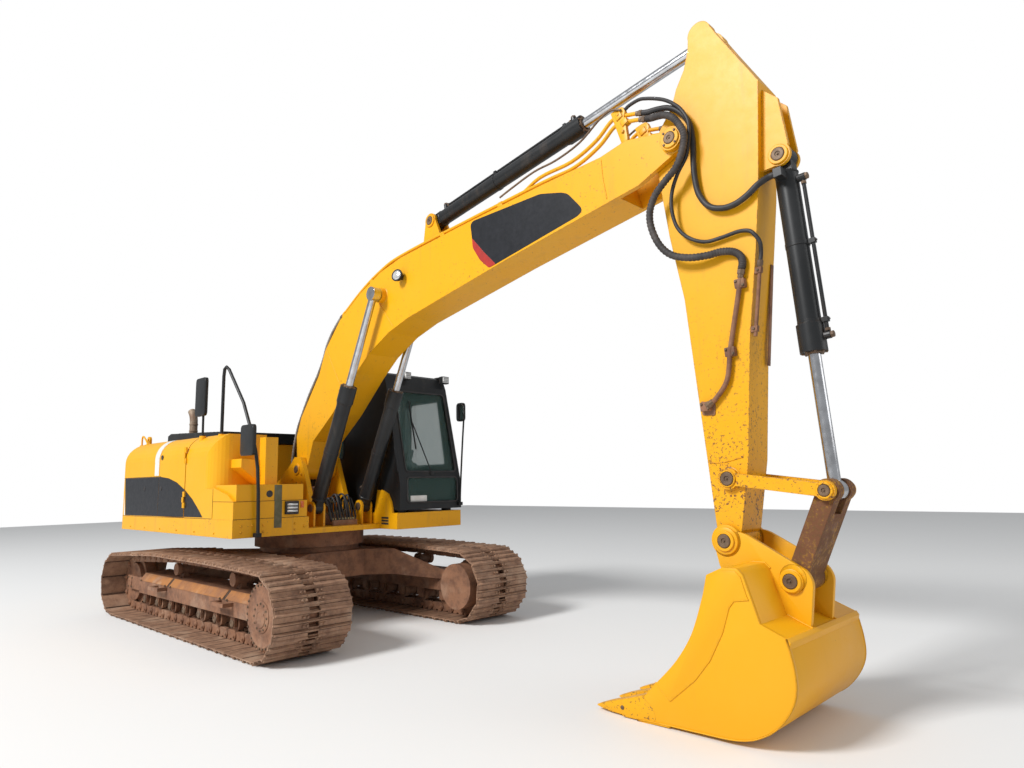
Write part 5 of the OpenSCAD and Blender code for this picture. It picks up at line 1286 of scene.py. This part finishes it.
# Bucket: side cutters with weld beads, ear welds, lip plate and teeth on adaptors
bucket = {
    "cutter": [(5.936, 0.848), (5.841, 0.833), (5.806, 0.791), (5.755, 0.640), (5.662, 0.466), (5.552, 0.331),
               (5.366, 0.173), (5.264, 0.267)],
    "cutterFront": [(0.410, -0.105), (0.328, -0.022), (0.283, -0.010), (0.208, -0.052), (0.137, -0.148),
                    (0.162, -0.250), (0.192, -0.430), (0.200, -0.560), (0.180, -0.720), (0.151, -0.830),
                    (0.117, -0.930)],
    "wrap": [(0.129, -0.133), (0.202, -0.035), (0.283, 0.008), (0.330, -0.005), (0.540, -0.205), (0.705, -0.189),
             (0.795, -0.288), (0.867, -0.396), (0.892, -0.490), (0.884, -0.610), (0.845, -0.735), (0.733, -0.880),
             (0.470, -1.026), (0.203, -1.174), (0.095, -1.248)],
    "lip": [(0.095, -1.247), (0.203, -1.173), (0.300, -1.120), (0.306, -1.131), (0.205, -1.188), (0.090, -1.262)],
    "rib": [(0.690, -0.1965), (0.706, -0.1830), (0.733, -0.1960), (0.745, -0.2320), (0.733, -0.2440)],
    "half": 0.570, "cutterThick": 0.006, "earY": 0.191, "wall": 0.022,
    "teeth": 5, "toothWidth": 0.110, "toothLong": 0.252, "edge": (-0.2235, -1.388), "root": (-0.0415, -1.257),
    "stations": [(0.0, 0.048, 0.050), (0.030, 0.050, 0.048), (0.115, 0.045, 0.036), (0.190, 0.040, 0.020),
                 (0.250, 0.030, 0.005)],
    "adaptor": [(0.060, -1.080), (0.165, -1.104), (0.210, -1.150), (0.192, -1.188), (0.060, -1.262), (-0.012, -1.302),
                (-0.040, -1.255), (-0.058, -1.205)],
    "nose": [(-0.052, -1.212), (-0.015, -1.296), (-0.062, -1.318), (-0.098, -1.242)],
    "toothPin": (-0.034, -1.250), "pinProfile": [(0.014, 0), (0.014, 0.004), (0.009, 0.007)],
    "front": [(0.060, -1.200), (0.070, -1.080), (0.112, -0.938), (0.147, -0.830), (0.176, -0.720), (0.196, -0.560),
              (0.188, -0.430), (0.158, -0.250)],
    "ear": [(-0.060, -0.070), (0.045, -0.190), (0.250, -0.100), (0.330, -0.020), (0.535, -0.230), (0.700, -0.200),
            (0.600, 0.060), (0.540, 0.105), (0.100, 0.108), (0.000, 0.080)],
    "earFrom": 0.153, "earTo": 0.189, "discs": ((0, 0, 0.105), (0.483, 0.020, 0.085)), "discAt": 0.1526,
    "collars": ((0, 0.090), (0.483, 0.075)),
}


def makeTooth(s):
    tooth = Shape()
    tooth.skin([[(x, -half, -h), (x, half, -h), (x, half * 0.92, h), (x, -half * 0.92, h)]
                for x, half, h in s["stations"]])
    return tooth


def dressTeeth(s):
    teeth, holders, pins = Shape(), Shape(), Shape()
    edge, root = (Vector((u, 0, v)) for u, v in (s["edge"], s["root"]))
    ahead = (edge - root).normalized()
    up = Vector((ahead.z, 0, -ahead.x))
    start = edge - ahead * s["toothLong"]
    adaptor, nose = rounded(s["adaptor"], 0.016), rounded(s["nose"], 0.008)
    half = s["toothWidth"] / 2 + 0.0012
    pinU, pinV = s["toothPin"]
    single = makeTooth(s)
    for k in range(s["teeth"]):
        y = (s["half"] * 2 - s["toothWidth"]) * (k / (s["teeth"] - 1) - 0.5)
        turn = Matrix(((ahead.x, 0, -up.x, start.x), (0, 1, 0, y), (ahead.z, 0, -up.z, start.z), (0, 0, 0, 1)))
        teeth.take(single, turn)
        holders.prism(adaptor, y - half, y + half)
        holders.prism(nose, y - half * 0.66, y + half * 0.66)
        for side in (-1, 1):
            pins.lathe((pinU, y + side * half * 0.98, pinV), (0, side, 0), s["pinProfile"], 16)
    return teeth, holders, pins


def dressBucket(s):
    plates, welds = Shape(), Shape()
    back = bucketFrame.inverted()
    cut = [back @ Vector((x, 0, z)) for x, z in s["cutter"]]
    outline = [(p.x, p.z) for p in cut]
    out = s["half"] + 0.0005
    for side in (-1, 1):
        plates.prism(s["cutterFront"] + outline[::-1], side * s["half"], side * (s["half"] + s["cutterThick"]))
        welds.take(bead([(u, side * out, v) for u, v in outline], 0.0065))
        for corner in (s["wrap"][4:6], s["wrap"][1:4]):
            welds.take(bead([(u + 0.003, side * s["earY"], v + 0.004) for u, v in corner], 0.007))
        welds.take(bead([(u * 0.997, side * out, v * 0.997) for u, v in softened(s["wrap"][5:])], 0.006))
    plates.prism(s["lip"], -s["half"], s["half"])
    plates.prism(s["rib"], -s["half"] + 0.004, s["half"] - 0.004)
    teeth, holders, pins = dressTeeth(s)
    makePiece("bucketSideCutters", plates.turned(bucketFrame), "bucketYellow", "bucket_body", 0.002)
    makePiece("bucketWelds", welds.turned(bucketFrame), "bucketYellow", "bucket_body", sharp=50)
    makePiece("bucketToothTips", teeth.turned(bucketFrame), "toothPaint", "bucket_body", 0.005,
              replaces=["bucket_teeth"])
    makePiece("bucketToothHolders", holders.turned(bucketFrame), "toothPaint", "bucket_body", 0.003)
    makePiece("bucketPins", pins.turned(bucketFrame), "pinSteel", "bucket_body")


dressBucket(bucket)
report("bucket")


# Cab: gaskets, wiper, roof hatch, lamps and handles
cab = {
    "front": 1.225, "slope": -0.2387, "bend": 1.560, "outer": 1.388, "inner": 0.438,
    "shieldY": (0.548, 1.326), "shieldZ": ((1.345, 1.640), (1.710, 2.700)), "window": (-0.445, 1.900, 0.035, 2.675),
    "wiper": ((0.012, 0.930, 1.690), (0.020, 0.740, 2.300)), "blade": ((0.010, 0.742, 1.980), (0.010, 0.738, 2.580)),
    "motor": [(0.026, 0), (0.026, 0.012), (0.016, 0.020)], "hatch": ((-0.300, 0.640, 2.9345), (0.420, 1.190, 2.946)),
    "lamps": ((0.678, 0.778), (1.298, 1.398)), "lensX": (0.9848, 0.9885), "lensZ": (2.862, 2.936),
    "barX": (0.9870, 0.9905), "barZ": 2.876, "barStep": 0.022, "barHigh": 0.003,
    "grab": [(1.168, 0.452, 1.700), (1.190, 0.428, 1.740), (1.120, 0.425, 2.050), (1.085, 0.440, 2.120)],
    "grabFeet": (1.690, 2.125), "grabFootY": (0.432, 0.4385),
    "door": [(0.205, 1.800), (0.965, 1.800), (0.815, 2.635), (0.205, 2.635)],
    "handle": [(0.980, 1.388, 1.560), (0.985, 1.404, 1.575), (0.985, 1.404, 1.700), (0.980, 1.388, 1.715)],
    "handlePlate": (0.930, 1.735, 1.030, 1.785), "plateY": (1.386, 1.394),
}


def shieldX(z):
    return cab["front"] + cab["slope"] * max(z - cab["bend"], 0)


# A place at a distance in front of the windscreen
def beforeShield(out, y, z):
    return Vector((shieldX(z) + out, y, z))


def closedTube(shape, points, radius, sides=8):
    route = [Vector(p) for p in points]
    shape.tube(route + [route[0]], radius, sides)


def dressCab(s):
    rubber, trim, lens, doorTrim = Shape(), boxShape(s["hatch"]), Shape(), Shape()
    left, right = s["shieldY"]
    for z0, z1 in s["shieldZ"]:
        closedTube(rubber, [beforeShield(0.002, y, z) for y, z in squareOf(left, z0, right, z1, 0.05)], 0.011)
    for y in (s["inner"], s["outer"]):
        closedTube(rubber, [(x, y, z) for x, z in squareOf(*s["window"], 0.05)], 0.010)
    pivot, tip = (beforeShield(*place) for place in s["wiper"])
    trim.rod(pivot, tip, 0.007, 10)
    trim.rod(*(beforeShield(*place) for place in s["blade"]), 0.009, 8)
    trim.lathe(pivot - Vector((0.012, 0, 0)), (1, 0, 0.2), s["motor"], 20)
    for y0, y1 in s["lamps"]:
        lens.box((s["lensX"][0], y0, s["lensZ"][0]), (s["lensX"][1], y1, s["lensZ"][1]))
        for k in range(3):
            z = s["barZ"] + s["barStep"] * k
            trim.box((s["barX"][0], y0, z), (s["barX"][1], y1, z + s["barHigh"]))
    trim.tube(smoothRoute(s["grab"], 6), 0.012, 10)
    for z in s["grabFeet"]:
        (y0, y1), x = s["grabFootY"], shieldX(z)
        trim.box((x - 0.050, y0, z - 0.016), (x - 0.020, y1, z + 0.016))
    closedTube(doorTrim, [(x, s["outer"], z) for x, z in rounded(s["door"], 0.05)], 0.010)
    doorTrim.tube(smoothRoute(s["handle"], 5), 0.009, 10)
    doorTrim.prism(squareOf(*s["handlePlate"], 0.015), *s["plateY"])
    makePiece("cabGaskets", rubber, "rubber", "upper", sharp=50)
    makePiece("cabTrim", trim, "blackPaint", "upper", sharp=40)
    makePiece("cabLampFaces", lens, "lampLens", "upper", 0.001)
    makePiece("cabDoorTrim", doorTrim, "rubber", "cab_side_door", sharp=40)


# A crowned cushion: a rounded block with two sewn channels along it and a raised welt round its middle
def cushion(low, high, power, channels, rows=36, columns=64):
    centre = (Vector(low) + Vector(high)) / 2
    half = (Vector(high) - Vector(low)) / 2

    def bent(value):
        return math.copysign(abs(value) ** power, value)

    points = [centre - Vector((0, 0, half.z))]
    for i in range(1, rows):
        v = math.pi * (i / rows - 0.5)
        for k in range(columns):
            h = 2 * math.pi * k / columns
            wide = bent(math.cos(v))
            p = Vector((wide * bent(math.cos(h)), wide * bent(math.sin(h)), bent(math.sin(v))))
            dip = sum(math.exp(-((p.y - c) / 0.035) ** 2) for c in channels)
            p *= 1 - 0.07 * dip + 0.02 * math.exp(-(p.z / 0.05) ** 2)
            points.append(centre + p * half)
    points.append(centre + Vector((0, 0, half.z)))
    last = len(points) - 1
    start = last - columns
    faces = [[0, 1 + (k + 1) % columns, 1 + k] for k in range(columns)]
    for a in range(1, start, columns):
        b = a + columns
        faces += [[a + k, a + (k + 1) % columns, b + (k + 1) % columns, b + k] for k in range(columns)]
    faces += [[start + k, start + (k + 1) % columns, last] for k in range(columns)]
    made = Shape()
    made.add(points, faces)
    return made


# Seat: padded parts on bellows, and consoles with levers and pedals
seat = {
    "pads": [("seatCushion", (-0.020, 0.680, 1.560), (0.478, 1.146, 1.695), 0.42, (-0.55, 0.55), 0.7),
             ("seatBack", (-0.118, 0.690, 1.640), (0.018, 1.136, 2.110), 0.42, (-0.55, 0.55), 0.65),
             ("seatHeadrest", (-0.105, 0.780, 2.140), (0.000, 1.046, 2.298), 0.5, (), 0.7)],
    "folds": 6, "foldZ": 1.330, "foldStep": 0.040, "foldHigh": 0.038, "foldInset": 0.012,
    "foldX": (0.060, 0.420), "foldY": (0.730, 1.100), "base": ((0.020, 0.690, 1.311), (0.460, 1.140, 1.330)),
    "console": [(0.020, 1.560), (0.440, 1.640), (0.490, 1.700), (0.490, 1.790), (0.440, 1.845), (0.020, 1.800)],
    "consoleY": ((0.533, 0.643), (1.183, 1.293)), "legX": (0.100, 0.360), "legZ": (1.312, 1.610), "legInset": 0.015,
    "stickX": 0.400, "boot": [(0.042, 0), (0.040, 0.015), (0.030, 0.022), (0.032, 0.030), (0.020, 0.040),
                              (0.012, 0.050), (0.012, 0.080)],
    "grip": [(0.016, 0), (0.021, 0.020), (0.020, 0.060), (0.024, 0.085), (0.022, 0.105), (0.012, 0.115)],
    "bootZ": 1.825, "gripZ": 1.900, "travelY": (0.860, 0.966),
    "travel": [(0.740, 1.330), (0.760, 1.500), (0.745, 1.700), (0.690, 1.860)],
    "knob": [(0.014, 0), (0.019, 0.020), (0.019, 0.080), (0.012, 0.090)], "knobAt": (0.690, 1.845),
    "pedal": [(0.700, 1.312), (0.860, 1.345), (0.860, 1.357), (0.700, 1.324)], "pedalHalf": 0.045,
    "screen": [(0.930, 1.700), (1.060, 1.690), (1.040, 1.860), (0.960, 1.860)], "screenY": (0.500, 0.560),
}


def makeSeat(s):
    for name, low, high, power, channels, fill in s["pads"]:
        pad = makePiece(name, cushion(low, high, power, channels), "seatCloth", "upper", sharp=80,
                        replaces=["operator_seat"] if name == "seatCushion" else ())
    bellows, consoles, levers = Shape(), Shape(), Shape()
    (x0, x1), (y0, y1) = s["foldX"], s["foldY"]
    for k in range(s["folds"]):
        inset, z = s["foldInset"] * (k % 2), s["foldZ"] + s["foldStep"] * k
        bellows.box((x0 + inset, y0 + inset, z), (x1 - inset, y1 - inset, z + s["foldHigh"]))
    bellows.box(*s["base"])
    (x0, x1), (z0, z1), inset = s["legX"], s["legZ"], s["legInset"]
    for y0, y1 in s["consoleY"]:
        consoles.prism(rounded(s["console"], 0.03), y0, y1)
        consoles.box((x0, y0 + inset, z0), (x1, y1 - inset, z1))
        levers.lathe((s["stickX"], (y0 + y1) / 2, s["bootZ"]), (0, 0, 1), s["boot"], 20)
        levers.lathe((s["stickX"], (y0 + y1) / 2, s["gripZ"]), (0.25, 0, 1), s["grip"], 20)
    for y in s["travelY"]:
        levers.tube(smoothRoute([(x, y, z) for x, z in s["travel"]], 5), 0.010, 10)
        levers.lathe((s["knobAt"][0], y, s["knobAt"][1]), (-0.3, 0, 1), s["knob"], 16)
        levers.prism(s["pedal"], y - s["pedalHalf"], y + s["pedalHalf"])
    consoles.prism(rounded(s["screen"], 0.02), *s["screenY"])
    makePiece("seatBellows", bellows, "rubber", "upper", 0.004)
    makePiece("seatConsoles", consoles, "blackPaint", "upper", 0.008)
    makePiece("cabLevers", levers, "rubber", "upper", sharp=45)


dressCab(cab)
makeSeat(seat)
report("cab")


# Bucket body: the same plates as in the part, with a smooth back, rounded edges and turned collars
def makeBucketShell(s):
    half, wall = s["half"], s["wall"]
    wrap = s["wrap"][:5] + softened(s["wrap"][5:])
    inner = []
    for i, (u, v) in enumerate(wrap):
        a, b = Vector(wrap[max(i - 1, 0)]), Vector(wrap[min(i + 1, len(wrap) - 1)])
        ahead = (b - a).normalized()
        inner.append((u + ahead.y * wall, v - ahead.x * wall))
    shell, ears, collars = Shape(), Shape(), Shape()
    shell.prism(wrap + inner[::-1], -half + 0.024, half - 0.024)
    for side in (-1, 1):
        shell.prism(wrap + softened(s["front"], 2), side * (half - 0.026), side * half)
        ears.prism(rounded(s["ear"], 0.03), side * s["earFrom"], side * s["earTo"])
        for u, v, r in s["discs"]:
            ears.lathe((u, side * s["discAt"], v), (0, side, 0), [(r, 0), (r, 0.0370)], 56)
        for u, r in s["collars"]:
            profile = [(r, 0), (r, 0.015), (r - 0.004, 0.018), (0.044, 0.018)]
            collars.lathe((u, side * (s["earTo"] - 0.001), 0), (0, side, 0), profile, 56)
    makePiece("bucketShell", shell.turned(bucketFrame), "bucketYellow", "bucket_body", 0.003, replaces=["bucket"])
    makePiece("bucketEars", ears.turned(bucketFrame), "bucketYellow", "bucket_body", 0.003)
    makePiece("bucketCollars", collars.turned(bucketFrame), "bucketYellow", "bucket_body", sharp=40)


# Manifold in front of the boom foot: bent pipes, hex fittings and a rusty block between the boom cylinders
manifold = {
    "blocks": [((0.500, -0.190, 1.105), (0.600, 0.190, 1.225)), ((0.700, -0.150, 1.105), (0.760, 0.170, 1.165))],
    "pipes": 9, "pipeY": -0.170, "pipeStep": 0.0425, "pipeX": 0.545, "high": 1.340, "highMore": 0.090,
    "reach": 0.060, "reachMore": 0.050, "radius": 0.0115, "radiusMore": 0.004,
    "lowNut": [(0.017, 0), (0.019, 0.003), (0.019, 0.022), (0.014, 0.026), (0.014, 0.044)],
    "nut": [(0.015, 0), (0.018, 0.003), (0.018, 0.020), (0.014, 0.024)], "boltY": (-0.180, -0.060, 0.060, 0.180),
}


def dressManifold(s):
    block, pipes, fittings = boxShape(*s["blocks"]), Shape(), Shape()
    x = s["pipeX"]
    for k in range(s["pipes"]):
        y = s["pipeY"] + s["pipeStep"] * k
        high = s["high"] + s["highMore"] * random.random()
        reach = s["reach"] + s["reachMore"] * random.random()
        route = [(x, y, 1.222), (x, y, high), (x + 0.015 + reach * 0.4, y + 0.010, high + 0.050),
                 (x + 0.015 + reach, y + 0.014, high - 0.010), (0.700 + 0.02 * random.random(), y + 0.010, 1.200),
                 (0.720, y * 0.8, 1.150)]
        pipes.tube(smoothRoute(route, 6), s["radius"] + s["radiusMore"] * (k % 3 == 0), 10)
        fittings.lathe((x, y, 1.224), (0, 0, 1), s["lowNut"], 6)
        fittings.lathe((x, y, high - 0.040), (0, 0, 1), s["nut"], 6)
        fittings.lathe((0.716, y * 0.82, 1.165), (-0.1, 0, 1), s["nut"], 6)
    for y in s["boltY"]:
        block.bolt((0.600, y, 1.140), (1, 0, 0), 0.010)
    makePiece("manifoldBlocks", block, "rustSteel", "upper", 0.003)
    makePiece("manifoldPipes", pipes, "rubber", "upper", sharp=50)
    makePiece("manifoldFittings", fittings, "zinc", "upper")


# Fittings on the stick: rounded rusty pipe with hex nuts, clamp plates with bolts, a flat bar down the front edge
stick = {
    "side": [(1.120, 0.366), (1.300, 0.315), (1.520, 0.247), (1.665, 0.204), (1.851, 0.155), (1.960, 0.060),
             (2.010, -0.020)],
    "sideY": -0.175, "edgeY": -0.127, "edge": (1.080, 1.300, 1.590), "edgeLift": 0.030, "wall": -0.1455,
    "clamps": ((1.215, 0.340), (1.665, 0.204), (2.006, -0.030)), "clampHalf": (0.032, 0.036), "clampOut": -0.187,
    "clampBolts": ((-0.018, -0.024), (0.018, 0.024)),
    "foot": [(1.960, -0.075), (2.060, -0.075), (2.075, 0.020), (1.990, 0.035)],
    "edgeClamps": (1.150, 1.540), "edgeClampY": (-0.145, -0.109), "bar": (1.060, 1.760), "barY": (0.090, 0.130),
    "seam": [(2.380, 0.180), (2.400, 0.050), (2.395, -0.070)],
    "ring": [(0.082, 0), (0.078, 0.005), (0.068, 0.006), (0.064, 0)], "ringAt": (2.515, 0.1445, 0.068),
}


# The height of the stick's front edge
def edgeV(u):
    return 0.470 - (u - 1.011) * 0.129 / 0.599


# A four-sided outline between two places on that edge, each corner lifted off it
def alongEdge(low, high, lifts):
    return [(u, edgeV(u) + lift) for u, lift in zip((low, high, high, low), lifts)]


def dressStick(s):
    pipes, plates, nuts, welds = Shape(), Shape(), Shape(), Shape()
    sideRoute = [(u, s["sideY"], v) for u, v in s["side"]]
    edgeRoute = [(u, s["edgeY"], edgeV(u) + s["edgeLift"]) for u in s["edge"]]
    pipes.tube(smoothRoute(sideRoute, 6), 0.017, 16)
    pipes.tube(smoothRoute(edgeRoute, 4), 0.013, 14)
    for place, axis, size in ((sideRoute[0], (0.96, 0, -0.27), 0.027), (edgeRoute[0], (0.98, 0, -0.21), 0.021),
                              (sideRoute[-1], (-0.53, 0, 0.85), 0.027)):
        profile = [(0.9, 0.002), (1, 0.006), (1, 0.034), (0.8, 0.040), (0.8, 0.060)]
        nuts.lathe(place, axis, [(size * part, along) for part, along in profile], 6)
    halfU, halfV = s["clampHalf"]
    for u, v in s["clamps"]:
        plates.prism(squareOf(u - halfU, v - halfV, u + halfU, v + halfV, 0.008), s["clampOut"], s["wall"])
        for du, dv in s["clampBolts"]:
            nuts.bolt((u + du, s["clampOut"], v + dv), (0, -1, 0), 0.009)
    plates.prism(rounded(s["foot"], 0.012), -0.152, s["wall"])
    for u in s["edgeClamps"]:
        plates.prism(alongEdge(u - 0.020, u + 0.020, (0.0006, 0.0006, 0.046, 0.046)), *s["edgeClampY"])
        nuts.bolt((u, s["edgeClampY"][0], edgeV(u) + 0.022), (0, -1, 0), 0.008)
    plates.prism(alongEdge(*s["bar"], (0.001, 0.024, 0.032, 0.009)), *s["barY"])
    u, y, v = s["ringAt"]
    for side in (-1, 1):
        welds.take(bead([(seamU, side * 0.145, seamV) for seamU, seamV in s["seam"]], 0.006))
        welds.lathe((u, side * y, v), (0, side, 0), s["ring"], 40)
    makePiece("stickPipes", pipes.turned(stickFrame), "rustSteel", "stick_arm", sharp=50, replaces=["stick_pipes"])
    makePiece("stickPlates", plates.turned(stickFrame), "rustSteel", "stick_arm", 0.002)
    makePiece("stickNuts", nuts.turned(stickFrame), "pinSteel", "stick_arm")
    makePiece("stickWelds", welds.turned(stickFrame), "stickYellow", "stick_arm", sharp=50)


makeBucketShell(bucket)
dressManifold(manifold)
dressStick(stick)
report("fittings")
